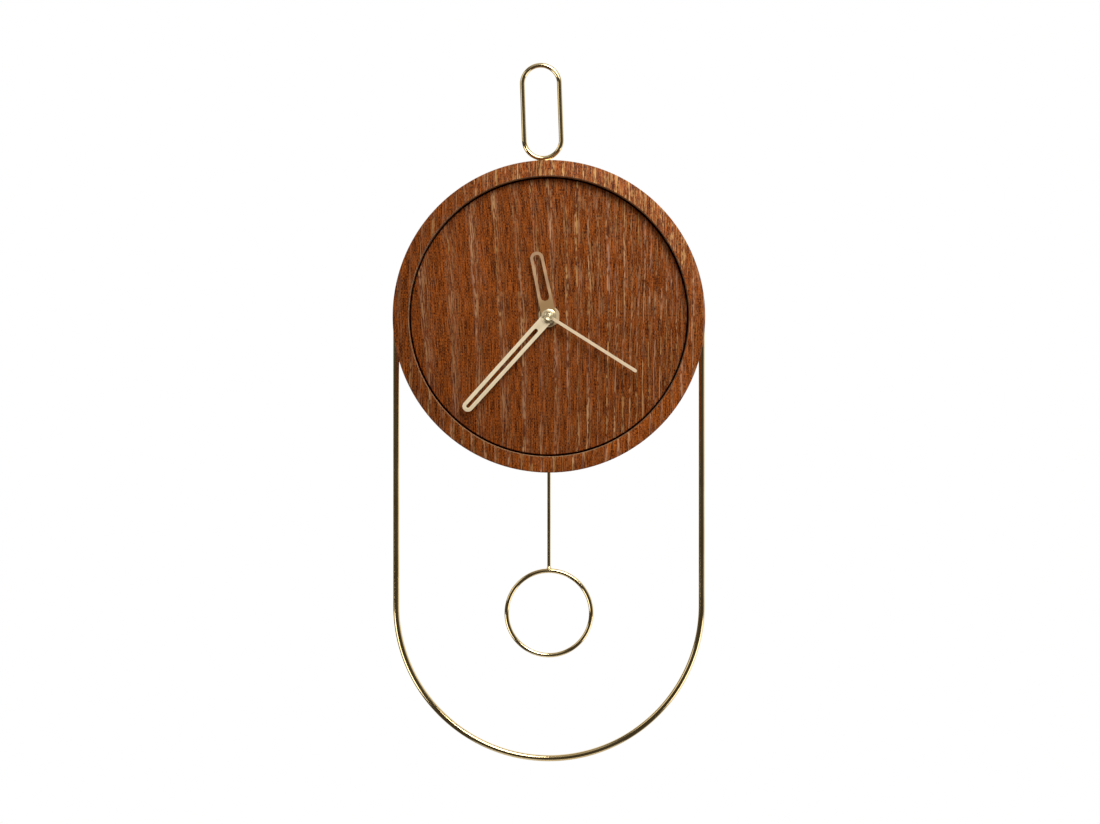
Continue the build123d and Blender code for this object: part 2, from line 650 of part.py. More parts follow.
knob_seat = REVERSE_ARBOR_RADIUS + SEAT_CLEARANCE
parts["setting_knob"] = knob - disc(knob_seat, stem_end - SEAT_CLEARANCE, knob_high, reverse_at)

hour_wheel = wheel(HOUR_TEETH, hour_module, 0, hour_layer) + disc(hour_tube, hour_layer[0], hour_high)
parts["hour_wheel"] = hour_wheel - disc(hour_bore, hour_layer[0], hour_high)

# Motor: a magnet rotor in a stator plate, whose arms meet the ends of the coil's core
rotor_phase = meshing_phase(THIRD_TEETH, 0, ROTOR_LEAVES, ROTOR_BEARING)
rotor = arbor_between_plates(rotor_at)
parts["rotor_pinion"] = rotor + pinion(ROTOR_LEAVES, ROTOR_MODULE, rotor_phase, fourth_layer, rotor_at)
magnet_ring = Circle(MAGNET_RADIUS) - Circle(ARBOR_RADIUS + SEAT_CLEARANCE)
parts["rotor_magnet"] = slab(Pos(*rotor_at) * magnet_ring, magnet_low, magnet_low + MAGNET_LENGTH)
eye_bore = MAGNET_RADIUS + MAGNET_GAP
eye_outer = eye_bore + STATOR_EYE_WALL
stator_face = Pos(*rotor_at) * Circle(eye_outer)
for place in post_places:
    foot = (place[0], rotor_at.Y + eye_outer)
    pad = Pos(place[0], (coil_z + foot[1]) / 2) * Rectangle(STATOR_ARM, coil_z - foot[1] + CORE_WIDTH)
    knee = Pos(place[0], foot[1] - CORE_WIDTH / 2 + STATOR_ARM / 2) * Circle(STATOR_ARM / 2)
    waist = Pos(*rotor_at) * Circle(STATOR_ARM)
    stator_face += pad + make_hull(knee.edges() + waist.edges())
stator_face -= Pos(*rotor_at) * Circle(eye_bore)
core_face = Pos(coil_x, coil_z) * Rectangle(CORE_LENGTH, CORE_WIDTH)
for place in post_places:
    stator_face -= Pos(*place) * Circle(MOTOR_SCREW_RADIUS + SEAT_CLEARANCE)
    core_face -= Pos(*place) * Circle(MOTOR_SCREW_RADIUS + SEAT_CLEARANCE)
parts["stator"] = slab(stator_face, stator_low, stator_high)
parts["coil_core"] = slab(core_face, core_low, stator_low)
motor_screws = []
for place in post_places:
    shank = disc(MOTOR_SCREW_RADIUS, core_low, stator_high + MOTOR_SCREW_GRIP - SEAT_CLEARANCE, place)
    motor_screws.append(shank + disc(MOTOR_SCREW_HEAD, core_low - MOTOR_SCREW_HEAD_HEIGHT, core_low, place))
parts["motor_screws"] = Compound(motor_screws)
core_middle = Pos(coil_x, -(core_low + stator_low) / 2, coil_z)
core_space = Box(CORE_LENGTH, STATOR_THICKNESS + 2 * SEAT_CLEARANCE, CORE_WIDTH + 2 * SEAT_CLEARANCE)
barrel_depth = STATOR_THICKNESS + 2 * BOBBIN_WALL
barrel_width = CORE_WIDTH + 2 * BOBBIN_WALL
bobbin = Box(BOBBIN_LENGTH, barrel_depth, barrel_width)
for side in (-1, 1):
    flange_x = side * (BOBBIN_LENGTH - BOBBIN_FLANGE_THICKNESS) / 2
    bobbin += Pos(flange_x, 0, 0) * Box(BOBBIN_FLANGE_THICKNESS, BOBBIN_FLANGE, BOBBIN_FLANGE)
parts["coil_bobbin"] = core_middle * (bobbin - core_space)
winding_length = BOBBIN_LENGTH - 2 * BOBBIN_FLANGE_THICKNESS
winding_across = BOBBIN_FLANGE - 2 * WINDING_INSET
winding_section = Plane.YZ * RectangleRounded(winding_across, winding_across, WINDING_ROUND)
winding = extrude(winding_section, winding_length / 2, both=True)
parts["coil_winding"] = core_middle * (winding - Box(winding_length, barrel_depth, barrel_width))

# Circuit: a narrow board across the cover, with its crystal and its sealed chip
board_low = board_top - BOARD_WIDTH
board_z = (board_top + board_low) / 2
board_half = tail_inner - CONTACT_PLAY
board_front = cover_inside + BOARD_THICKNESS
board_face = Pos(0, board_z) * Rectangle(2 * board_half, BOARD_WIDTH)
parts["circuit_board"] = slab(board_face, cover_inside, board_front)
parts_x = board_half - PARTS_MARGIN
crystal = Cylinder(CRYSTAL_RADIUS, CRYSTAL_LENGTH, rotation=(0, 90, 0))
crystal_height = board_front + CRYSTAL_RADIUS + SEAT_CLEARANCE
parts["quartz_crystal"] = Pos(parts_x, -crystal_height, board_z) * crystal
chip = disc(CHIP_RADIUS, board_front, board_front + CHIP_HEIGHT, (-parts_x, board_z))
parts["driver_chip"] = fillet(chip.edges().group_by(Axis.Y)[0], CHIP_ROUND)

# Battery: a round cell across the bay, with its nub to the right as seen from the front
cell_length = BATTERY_LENGTH - BATTERY_NUB
cell = Cylinder(battery_radius, cell_length, rotation=(0, 90, 0))
cell = chamfer(cell.edges(), BATTERY_EASE)
nub = Cylinder(BATTERY_NUB_DIAMETER / 2, BATTERY_NUB, rotation=(0, 90, 0))
cell += Pos((cell_length + BATTERY_NUB) / 2, 0, 0) * nub
parts["battery"] = Pos(-BATTERY_NUB / 2, -battery_height, battery_z) * cell


# Contacts: sprung strips bowed in from the housing's ends, with a tail along the wall to the board
def contact_strip():
    """The right-hand contact: a bowed leaf, a tail through the bay's upper wall and a foot on the board."""
    bow = BATTERY_LENGTH / 2 + CONTACT_PLAY
    upper = battery_z + CONTACT_SPAN / 2
    lower = battery_z - CONTACT_SPAN / 2
    inner = ThreePointArc((tail_inner, upper), (bow, battery_z), (tail_inner, lower))
    outer = Pos(CONTACT_STRIP, 0) * inner
    leaf = make_face([inner, outer, Line(inner @ 0, outer @ 0), Line(inner @ 1, outer @ 1)])
    strip = slab(leaf, battery_height - CONTACT_WIDTH / 2, battery_height + CONTACT_WIDTH / 2)
    tail_high = board_front + CONTACT_TAIL
    tail_middle = Pos(tail_inner + CONTACT_STRIP / 2, (upper + board_z) / 2)
    tail = slab(tail_middle * Rectangle(CONTACT_STRIP, board_z - upper), board_front, tail_high)
    riser_middle = Pos(tail_inner + CONTACT_STRIP / 2, upper - CONTACT_STRIP / 2)
    riser = slab(riser_middle * Rectangle(CONTACT_STRIP, CONTACT_STRIP), board_front, tail_high)
    foot_middle = Pos(tail_inner + CONTACT_STRIP - CONTACT_FOOT / 2, board_z)
    foot = slab(foot_middle * Rectangle(CONTACT_FOOT, CONTACT_FOOT), board_front, board_front + CONTACT_STRIP)
    return strip + riser + tail + foot


parts["positive_contact"] = contact_strip()
parts["negative_contact"] = mirror(contact_strip(), Plane.YZ)

# Pendulum drive: a coil over a boss of the cover, and a magnet in the arm that swings past it
coil_ring = Circle(DRIVE_COIL_DIAMETER / 2) - Circle(DRIVE_COIL_BORE / 2)
parts["drive_coil"] = slab(Pos(0, magnet_z) * coil_ring, cover_inside, cover_inside + DRIVE_COIL_HEIGHT)
retainer_high = arm_back - RETAINER_GAP
retainer_low = retainer_high - RETAINER_THICKNESS
parts["arm_pivot"] = disc(ARM_PIVOT_RADIUS, retainer_low - RETAINER_GAP, cover_inside, (0, pivot_z))
retainer_face = Circle(RETAINER_RADIUS) - Circle(ARM_PIVOT_RADIUS)
parts["arm_retainer"] = slab(Pos(0, pivot_z) * retainer_face, retainer_low, retainer_high)

# Arm: a moulded lever on the pivot, with a peg at its foot whose nose keeps the rod's eye on
magnet_seat = ARM_MAGNET_RADIUS + ARM_MAGNET_WALL
arm_head = Pos(0, pivot_z) * Circle(ARM_HEAD)
arm_belly = Pos(0, magnet_z) * Circle(magnet_seat)
arm_foot = Pos(0, peg_z) * Circle(ARM_FOOT)
arm_face = make_hull(arm_head.edges() + arm_belly.edges()) + make_hull(arm_belly.edges() + arm_foot.edges())
arm = slab(arm_face, arm_back, arm_front)
arm -= disc(ARM_PIVOT_RADIUS + RUNNING_CLEARANCE, arm_back, arm_front, (0, pivot_z))
arm -= disc(ARM_MAGNET_RADIUS + SEAT_CLEARANCE, arm_front - ARM_MAGNET_THICKNESS, arm_front, (0, magnet_z))
nose_high = rod_height - rod_radius - RETAINER_GAP
nose_low = nose_high - PEG_NOSE_LENGTH
arm += disc(PEG_RADIUS, nose_low, arm_back, (0, peg_z))
arm += disc(PEG_RADIUS, nose_low, nose_high, (0, peg_z + PEG_NOSE))
parts["pendulum_arm"] = arm
parts["arm_magnet"] = disc(ARM_MAGNET_RADIUS, arm_front - ARM_MAGNET_THICKNESS, arm_front, (0, magnet_z))

# Pendulum: a ring of wire brazed to a thin rod, which hangs from the peg by its eye
ring = Pos(0, -rod_height, ring_z) * Torus(ring_mid, RING_WIRE / 2, rotation=(90, 0, 0))
parts["pendulum_ring"] = ring
eye_mid = PEG_RADIUS + EYE_PLAY + rod_radius
eye_z = peg_z - EYE_PLAY + RUNNING_CLEARANCE
rod_top = eye_z - eye_mid
rod_bottom = ring_z + ring_mid
rod = Pos(0, -rod_height, (rod_top + rod_bottom) / 2) * Cylinder(rod_radius, rod_top - rod_bottom)
eye = Pos(0, -rod_height, eye_z) * Torus(eye_mid, rod_radius, rotation=(90, 0, 0))
parts["pendulum_rod"] = rod + eye - ring

os.makedirs("parts", exist_ok=True)
for name, shape in parts.items():
    export_step(shape, f"parts/{name}.step")
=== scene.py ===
import json
from math import cos, pi, radians, sin, tau

import bmesh
import bpy
from mathutils import Matrix, Vector

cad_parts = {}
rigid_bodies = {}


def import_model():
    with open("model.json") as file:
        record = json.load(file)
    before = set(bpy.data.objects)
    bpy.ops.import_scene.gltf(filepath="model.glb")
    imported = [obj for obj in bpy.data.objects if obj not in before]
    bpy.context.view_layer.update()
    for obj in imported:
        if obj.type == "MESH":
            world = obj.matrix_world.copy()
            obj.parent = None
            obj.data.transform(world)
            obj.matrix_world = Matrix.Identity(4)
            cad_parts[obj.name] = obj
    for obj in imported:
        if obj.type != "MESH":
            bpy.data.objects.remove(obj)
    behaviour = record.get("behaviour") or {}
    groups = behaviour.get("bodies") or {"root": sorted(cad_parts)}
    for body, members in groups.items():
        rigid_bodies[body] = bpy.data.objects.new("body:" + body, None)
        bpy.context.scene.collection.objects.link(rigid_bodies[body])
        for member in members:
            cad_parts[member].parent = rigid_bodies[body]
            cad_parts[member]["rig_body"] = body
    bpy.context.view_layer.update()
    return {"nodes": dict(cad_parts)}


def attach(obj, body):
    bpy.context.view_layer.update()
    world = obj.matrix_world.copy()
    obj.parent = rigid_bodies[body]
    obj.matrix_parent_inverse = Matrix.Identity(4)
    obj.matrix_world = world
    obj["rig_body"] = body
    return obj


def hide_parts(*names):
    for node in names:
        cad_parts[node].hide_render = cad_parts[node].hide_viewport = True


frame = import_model()


# Case: a hoop of fibreboard faced with stained ash veneer, its grain upright on the sloping rim.
# One strip of veneer goes round the outside, butted at the bottom, and the back is bare board.
# The ledge behind the dial is black, a painted shade that keeps the narrow gap round the dial dark.
class Signal:
    """An output in a node tree. Operators on it add Math nodes."""

    def __init__(self, tree, socket=None):
        self.tree = tree
        self.socket = socket

    def node(self, kind, settings, sockets, out=0):
        """Adds a node: its settings, then a value or a link for each socket. Gives one of its outputs."""
        made = self.tree.nodes.new("ShaderNode" + kind)
        for name, value in settings.items():
            if name == "stops":
                ends = made.color_ramp.elements
                ends[0].position, ends[0].color = value[0]
                ends[1].position, ends[1].color = value[-1]
                for place, colour in value[1:-1]:
                    ends.new(place).color = colour
            else:
                setattr(made, name, value)
        for name, value in sockets.items():
            if isinstance(value, Signal):
                self.tree.links.new(value.socket, made.inputs[name])
            else:
                made.inputs[name].default_value = value
        return Signal(self.tree, made.outputs[out])

    def axes(self):
        """The three numbers of a vector."""
        apart = self.node("SeparateXYZ", {}, {0: self})
        return [Signal(self.tree, number) for number in apart.socket.node.outputs]

    def math(self, operation, *values):
        return self.node("Math", {"operation": operation}, dict(enumerate(values)))

    def __add__(self, other):
        return self.math("ADD", self, other)

    def __sub__(self, other):
        return self.math("SUBTRACT", self, other)

    def __rsub__(self, other):
        return self.math("SUBTRACT", other, self)

    def __mul__(self, other):
        return self.math("MULTIPLY", self, other)

    def __truediv__(self, other):
        return self.math("DIVIDE", self, other)

    def __pow__(self, other):
        return self.math("POWER", self, other)

    __radd__ = __add__
    __rmul__ = __mul__


def new_finish(name, **constants):
    """A material with the constants of its shader set."""
    made = bpy.data.materials.new(name)
    made.use_nodes = True
    shader = made.node_tree.nodes["Principled BSDF"]
    for socket, value in constants.items():
        shader.inputs[socket.replace("_", " ")].default_value = value
    return made


def millimetres(finish):
    """The three Object coordinates of a finish, in millimetres."""
    point = Signal(finish.node_tree).node("TexCoord", {}, {}, "Object")
    return [axis * 1000 for axis in point.axes()]


def noise(u, v, w, detail=2.0):
    place = u.node("CombineXYZ", {}, {0: u, 1: v, 2: w})
    return u.node("TexNoise", {}, {"Vector": place, "Scale": 1.0, "Detail": detail})


def step(low, high, signal):
    """Rises smoothly from 0 to 1 between two values of a signal."""
    sockets = {"Value": signal, "From Min": low, "From Max": high}
    return signal.node("MapRange", {"interpolation_type": "SMOOTHSTEP"}, sockets)


def blend(share, colour, other):
    """One colour, going over to another by a share."""
    return share.node("Mix", {"data_type": "RGBA"}, {0: share, 6: colour, 7: other}, 2)


def surface(finish, colour, roughness, relief=None, depth=0.0001):
    """Feeds a finish's colour, roughness and relief to its shader."""
    tree = finish.node_tree
    shader = tree.nodes["Principled BSDF"]
    tree.links.new(colour.socket, shader.inputs["Base Color"])
    tree.links.new(roughness.socket, shader.inputs["Roughness"])
    if relief:
        bump = relief.node("Bump", {}, {"Height": relief, "Distance": depth})
        tree.links.new(bump.socket, shader.inputs["Normal"])


def scaled(colour, share):
    """A colour made lighter or darker by a share."""
    return colour.node("VectorMath", {"operation": "SCALE"}, {0: colour, "Scale": share})


STAIN_DARK, STAIN_LIGHT = (0.030, 0.0040, 0.0003, 1), (0.345, 0.081, 0.0095, 1)
DULL_BAND, DARK_VEIN = (0.155, 0.060, 0.031, 1), (0.034, 0.0062, 0.0010, 1)
HONEY_PORE, GREY_PORE = (0.620, 0.330, 0.110, 1), (0.420, 0.220, 0.140, 1)


def veneer(finish, across, along, ring_count, leaf, tone=1.0, open_grain=0.2, greyed=1.0, ring_pores=1.0):
    """Stained ash: each ring opens with a dull band lined with pale open pores, on a ground of fine fibres.

    Each leaf of veneer has a number of its own, so that no two are alike.
    """
    bent = across + noise(across / 40, along / 160, leaf) * 8
    grain = bent + noise(bent / 13, along / 240, leaf + 7.0) * 3.5
    grain = grain + noise(bent / 6, along / 35, leaf + 11.0) * 0.8
    rings = ring_count(grain)
    late = rings.math("FRACT", rings)
    strength = step(0.36, 0.60, noise(rings * 1.7, along / 90, leaf + 17.0))
    early = late.math("MAXIMUM", (1 - late) ** 4.2, step(0.86, 1.0, late)) * (strength * 0.7 + 0.3)
    speck = noise(bent * 2.4, along * 0.7, leaf + 13.0, 1.0)
    fibre = noise(bent * 2.2, along / 14, leaf + 23.0, 1.0)
    streak = noise(grain * 0.45, along / 80, leaf + 19.0, 3.0)
    gap = noise(grain * 0.9, along / 4.5, leaf + 31.0, 1.0) - 0.5
    pore = noise(grain * 1.6, along / 18, leaf + 29.0, 0.0) + gap * 0.9
    vein = noise(grain * 1.6, along / 18, leaf + 41.0, 0.0) + gap * 0.4
    pale = step(0.50, 0.57, pore) * early * ring_pores + step(0.58, 0.67, pore) * open_grain
    dark = step(0.54, 0.63, vein) * (early * 0.40 + 0.50)
    ground = step(0.41, 0.59, speck * 0.48 + fibre * 0.44 + streak * 0.08)
    filling = blend(step(0.3, 0.7, streak) * greyed, HONEY_PORE, GREY_PORE)
    colour = blend(ground, STAIN_DARK, STAIN_LIGHT)
    colour = blend(early * 0.55, colour, DULL_BAND)
    colour = blend(dark * 0.60, colour, DARK_VEIN)
    colour = blend(pale * 0.86, colour, filling)
    colour = scaled(colour, tone * (0.90 + streak * 0.18))
    roughness = early * 0.10 + pale * 0.08 + 0.42
    relief = fibre * 0.3 - dark * 0.5 - pale * 0.5
    surface(finish, colour, roughness, relief, 0.00008)


OILED, RIM_LEAF, BAND_LEAF, CASE_RADIUS = 0.06, 3.0, 61.0, 110
rim_finish = new_finish("rim_veneer", Specular_IOR_Level=OILED)
x, y, z = millimetres(rim_finish)
# Painted sheen: the pale pores grow more and honey-coloured towards the upper right of the rim, where the
# key light falls.
rim_painted_sheen = step(40, 105, x * 0.423 + z * 0.906)
# Painted light: the rim's tone is lighter towards the right and the lower right and darker to the left, as
# the lamps light its slope.
rim_painted_light = step(-105, 21, x) * 0.38 - step(60, 105, x) * step(70, 0, z) * 0.10 + 0.86
rim_painted_light = rim_painted_light + step(20, 60, x) * step(-15, -60, z) * 0.19
plain = step(75, 105, z * 0.2 - x * 0.98) + step(84, 104, x * 0.82 - z * 0.57) * 0.7
veneer(rim_finish, x, z, lambda u: u * 0.13, RIM_LEAF, tone=rim_painted_light,
       open_grain=rim_painted_sheen * 0.35 - plain * 0.05 + 0.10, greyed=1 - rim_painted_sheen * 0.8,
       ring_pores=1 - plain * 0.65 - step(80, 105, z) * 0.2)

band_finish = new_finish("band_veneer", Specular_IOR_Level=OILED)
x, y, z = millimetres(band_finish)
round_arc = x.math("ARCTAN2", x, z) * CASE_RADIUS
veneer(band_finish, y, round_arc, lambda u: u * 0.24, BAND_LEAF)

# The rim's eased inner edge: mottled pale veneer where it is sanded, with a painted highlight that makes it
# lighter towards the lower left, where the key light glints on it.
rim_edge_highlight_finish = new_finish("sanded_edge_painted_highlight")
x, y, z = millimetres(rim_edge_highlight_finish)
sanded = noise(x * 1.2, y * 1.2, z * 0.5)
edge_painted_highlight_colour = blend(step(0.3, 0.7, sanded), (0.17, 0.075, 0.030, 1), (0.36, 0.22, 0.115, 1))
edge_painted_highlight_colour = scaled(edge_painted_highlight_colour, step(0, 70, x * -0.6 - z * 0.8) * 0.5 + 0.5)
surface(rim_edge_highlight_finish, edge_painted_highlight_colour, sanded * 0.15 + 0.25)

board_finish = new_finish("bare_fibreboard")
x, y, z = millimetres(board_finish)
fibre = noise(x * 2.2, y * 2.2, z * 2.2, 4.0)
cloud = noise(x / 25, y / 25, z / 25, 2.0)
board_colour = blend(step(0.30, 0.72, fibre), (0.265, 0.172, 0.092, 1), (0.385, 0.265, 0.150, 1))
board_colour = blend(step(0.4, 0.7, cloud) * 0.35, board_colour, (0.30, 0.20, 0.11, 1))
surface(board_finish, board_colour, fibre * 0.1 + 0.78, fibre, 0.00015)

# Painted shade: the ledge and the dial's edge are near-black so that they stand for the shadow in the narrow
# gap round the dial.
gap_painted_shade_finish = new_finish("gap_painted_shade", Specular_IOR_Level=OILED)
x, y, z = millimetres(gap_painted_shade_finish)
gap_mottle = noise(x, y, z)
gap_shade_colour = blend(gap_mottle, (0.006, 0.004, 0.003, 1), (0.014, 0.010, 0.008, 1))
surface(gap_painted_shade_finish, gap_shade_colour, gap_mottle * 0.1 + 0.70)


def rides_with(piece, node):
    """The piece rides on the node's body."""
    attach(piece, frame["nodes"][node]["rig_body"])


def stands_for(piece, node):
    """The piece rides with the node and is shown in its place."""
    rides_with(piece, node)
    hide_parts(node)


WELD, FLAT, SHARP = 1e-6, radians(0.5), radians(35)


def piece_from(shape, name, *finishes, smooth=35):
    """A new object from a bmesh, with its doubles merged and its faces smooth up to an angle in degrees."""
    bmesh.ops.remove_doubles(shape, verts=shape.verts, dist=WELD)
    bmesh.ops.recalc_face_normals(shape, faces=shape.faces)
    mesh = bpy.data.meshes.new(name)
    shape.to_mesh(mesh)
    shape.free()
    mesh.shade_smooth()
    mesh.set_sharp_from_angle(angle=radians(smooth))
    for finish in finishes:
        mesh.materials.append(finish)
    piece = bpy.data.objects.new(name, mesh)
    bpy.context.scene.collection.objects.link(piece)
    return piece


def ease_edges(shape, ease, segments, chosen=bool):
    """Bevels the chosen ones of a shape's sharp edges."""
    sharp = [e for e in shape.edges if len(e.link_faces) == 2 and e.calc_face_angle() > SHARP]
    bmesh.ops.bevel(shape, geom=[e for e in sharp if chosen(e)], offset=ease, offset_type="OFFSET",
                    affect="EDGES", segments=segments, profile=0.5, material=-1, clamp_overlap=True)


def eased_copy(node, ease=0.0, chosen=bool):
    """The shape of a CAD node, its flat faces joined and its chosen sharp edges eased."""
    shape = bmesh.new()
    shape.from_mesh(frame["nodes"][node].data)
    bmesh.ops.remove_doubles(shape, verts=shape.verts, dist=WELD)
    bmesh.ops.dissolve_limit(shape, angle_limit=FLAT, verts=shape.verts, edges=shape.edges)
    if ease:
        ease_edges(shape, ease, 2, chosen)
    return shape


def remade(node, name, *finishes, ease=0.0, chosen=bool, smooth=35):
    """A piece in the shape of a CAD node, with eased edges, that stands for the node."""
    piece = piece_from(eased_copy(node, ease, chosen), name, *finishes, smooth=smooth)
    stands_for(piece, node)
    return piece


case = remade("case_ring", "case_hoop", rim_finish, band_finish, board_finish, rim_edge_highlight_finish, gap_painted_shade_finish)
RIM, BAND, BOARD, EDGE, GAP = range(5)
LEDGE_Y, FRONT_Y, EDGE_BACK_Y, EDGE_FRONT_Y, LEDGE_NEAR = -0.0310, -0.0312, -0.0412, -0.0420, 0.0002
EDGE_RADIUS, BAND_INSIDE, UPRIGHT = 0.0992, 0.1085, 0.5
for face in case.data.polygons:
    depth, radius = face.center.y, Vector((face.center.x, face.center.z)).length
    in_front, upright = depth < FRONT_Y, abs(face.normal.y) < UPRIGHT
    if radius < EDGE_RADIUS and EDGE_FRONT_Y < depth < EDGE_BACK_Y:
        face.material_index = EDGE
    elif not upright and abs(depth - LEDGE_Y) < LEDGE_NEAR:
        face.material_index = GAP
    elif upright and (in_front or radius > BAND_INSIDE):
        face.material_index = BAND
    elif in_front:
        face.material_index = RIM
    else:
        face.material_index = BOARD

# Dial: a disc of the same veneer on thin board, cut with upright grain from the middle of a flat-sawn leaf.
# Its rings are wide on the left and crowd together towards the right.
# Its back is bare board, and its edge is black as the ledge is, painted shade for the gap round the dial.
DIAL_LEAF = 17.0
dial_finish = new_finish("dial_veneer", Specular_IOR_Level=OILED)
x, y, z = millimetres(dial_finish)
sway = (z + 100) * (z + 100) * 0.0003 * step(50, -70, x)
# Painted light: the dial is made lighter towards the top, where the light falls more. The same share adds
# pale pores at its upper right.
dial_painted_top_light = step(-70, 60, z)
filled = step(5, 75, x * -0.77 - z * 0.64)
foot = step(55, 95, x * 0.17 - z * 0.98)
veneer(dial_finish, x + sway, z, lambda u: u * 0.09 + u * u * 0.0006 + u * u * u * 3.3e-6, DIAL_LEAF,
       tone=dial_painted_top_light * 0.11 + filled * 0.04 + 0.91,
       open_grain=dial_painted_top_light * step(-40, 50, x) * 0.20 + step(-30, -90, x) * 0.04 + foot * 0.07 + 0.06,
       ring_pores=foot * 0.6 - filled * 0.5 + 1)
dial = remade("dial_panel", "dial_disc", dial_finish, board_finish, gap_painted_shade_finish)
DIAL_FRONT, DIAL_BACK, DIAL_EDGE, FACING = 0, 1, 2, 0.3
for face in dial.data.polygons:
    if face.normal.y < -FACING:
        face.material_index = DIAL_FRONT
    else:
        face.material_index = DIAL_BACK if face.normal.y > FACING else DIAL_EDGE

# Movement: a quartz movement in a moulded tray of black plastic, set against the dial on a rubber gasket.
# Its wheels are moulded in nylon, with brass for the seconds and minute arbors.
# They run between the tray and its cover.
def moulded(name, low, high, roughness, grain=1.6):
    """A moulded finish: a fine spark-eroded texture, with faint clouds of two tones."""
    finish = new_finish(name)
    x, y, z = millimetres(finish)
    spark = noise(x * grain, y * grain, z * grain, 3.0)
    cloud = noise(x / 12, y / 12, z / 12)
    colour = blend(step(0.3, 0.7, cloud * 0.6 + spark * 0.4), low, high)
    surface(finish, colour, spark * 0.16 + roughness, spark, 0.00006)
    return finish


def metal(name, low, high, roughness, grain=(0.4, 0.4, 0.4), metallic=1.0):
    """A worked metal: fine scratches stretched by the grain, over a slow change of tone."""
    finish = new_finish(name, Metallic=metallic)
    x, y, z = millimetres(finish)
    scratch = noise(x * grain[0], y * grain[1], z * grain[2], 3.0)
    haze = noise(x / 20, y / 20, z / 20)
    colour = blend(step(0.3, 0.7, haze * 0.7 + scratch * 0.3), low, high)
    surface(finish, colour, scratch * 0.18 + haze * 0.08 + roughness)
    return finish


def dress(finish, *nodes):
    """Gives a finish to CAD nodes that stay as they are."""
    for node in nodes:
        for slot in frame["nodes"][node].material_slots:
            slot.material = finish


HOUSING_HALF, HOUSING_LOW, HOUSING_HIGH, HOUSING_EASE = 0.0240, -0.0693, 0.0238, 0.0004


def on_outline(edge):
    """Tells the edges of the boxy housing that lie on its outline, seen from the front."""
    return all(abs(v.co.x) > HOUSING_HALF or v.co.z < HOUSING_LOW or v.co.z > HOUSING_HIGH
               for v in edge.verts)


black_finish = moulded("black_moulding", (0.012, 0.012, 0.013, 1), (0.024, 0.024, 0.025, 1), 0.36)
rubber_finish = moulded("gasket_rubber", (0.010, 0.010, 0.010, 1), (0.020, 0.019, 0.018, 1), 0.68)
nylon_finish = moulded("white_nylon", (0.62, 0.60, 0.55, 1), (0.74, 0.72, 0.67, 1), 0.36)
arbor_finish = metal("turned_brass", (0.56, 0.38, 0.14, 1), (0.72, 0.52, 0.22, 1), 0.18)
magnet_finish = metal("sintered_magnet", (0.10, 0.10, 0.11, 1), (0.17, 0.17, 0.18, 1), 0.42)
steel_finish = metal("plated_steel", (0.48, 0.48, 0.47, 1), (0.62, 0.62, 0.60, 1), 0.20)
resin_finish = moulded("chip_resin", (0.008, 0.008, 0.009, 1), (0.016, 0.016, 0.018, 1), 0.24)

copper_finish = new_finish("enamelled_copper", Metallic=1.0)
x, y, z = millimetres(copper_finish)
turns = noise(x * 6, y * 0.3, z * 0.3)
copper_colour = blend(step(0.35, 0.65, turns), (0.34, 0.09, 0.03, 1), (0.66, 0.25, 0.11, 1))
surface(copper_finish, copper_colour, turns * 0.2 + 0.22, turns, 0.00005)

board_green = new_finish("green_board")
x, y, z = millimetres(board_green)
tracks = step(0.5, 0.53, noise(x / 3, y, z / 1.5, 0.0))
lacquer = noise(x * 2, y * 2, z * 2)
green = blend(tracks, (0.012, 0.070, 0.030, 1), (0.030, 0.140, 0.058, 1))
green = blend(lacquer * 0.3, green, (0.02, 0.10, 0.04, 1))
surface(board_green, green, lacquer * 0.15 + 0.26, tracks, 0.00004)

dress(rubber_finish, "rubber_gasket")
dress(nylon_finish, "third_wheel", "fourth_wheel", "minute_wheel", "reverse_wheel", "hour_wheel",
      "rotor_pinion", "coil_bobbin")
dress(arbor_finish, "seconds_wheel", "minute_arbor")
dress(magnet_finish, "rotor_magnet")
dress(steel_finish, "stator", "coil_core", "motor_screws", "quartz_crystal", "positive_contact",
      "negative_contact")
dress(copper_finish, "coil_winding", "drive_coil")
dress(board_green, "circuit_board")
dress(resin_finish, "driver_chip")
for node, name in (("movement_base", "movement_tray"), ("movement_cover", "movement_back")):
    remade(node, name, black_finish, ease=HOUSING_EASE, chosen=on_outline, smooth=25)

# Mouldings on the cover: a low frame round the battery's bay with its plus and minus, an arrow for the
# setting knob and a ring under the arm's magnet, all moulded in one with the cover.
# Two tongues on each side snap over wedges of the tray and hold the cover.
COVER_BACK, MOULDING_BACK, BAY_HALF, BAY_LOW, BAY_HIGH = 13.5, 13.15, 25.55, -27.944, -13.144
KNOB_X, KNOB_Z, MAGNET_Z = -4.495, 11.126, -61.944
LIP_WIDE, LIP_TALL, SIGN_X, SIGN_Z, SIGN_ARM, SIGN_HALF = 1.3, 1.1, 21.5, -7.2, 2.0, 0.5
ARROW_INNER, ARROW_OUTER, ARROW_SWEEP, ARROW_STEPS = 9.2, 10.2, radians(75), 16
HEAD_HALF, HEAD_LONG = 1.6, 2.6
MAGNET_INNER, MAGNET_OUTER, ROUND_STEPS = 9.0, 10.0, 64


def corner(shape, aside, out, up):
    """A new corner, given in millimetres aside, out from the wall and up."""
    return shape.verts.new((aside / 1000, -out / 1000, up / 1000))


def corners_of(shape, outline, out=COVER_BACK):
    """Corners of an outline across the hands' axis, in millimetres."""
    return [corner(shape, aside, out, up) for aside, up in outline]


def box_outline(aside, up, half_wide, half_tall):
    return ((aside - half_wide, up - half_tall), (aside + half_wide, up - half_tall),
            (aside + half_wide, up + half_tall), (aside - half_wide, up + half_tall))


def edge_loop(shape, corners):
    return [shape.edges.new(pair) for pair in zip(corners, corners[1:] + corners[:1])]


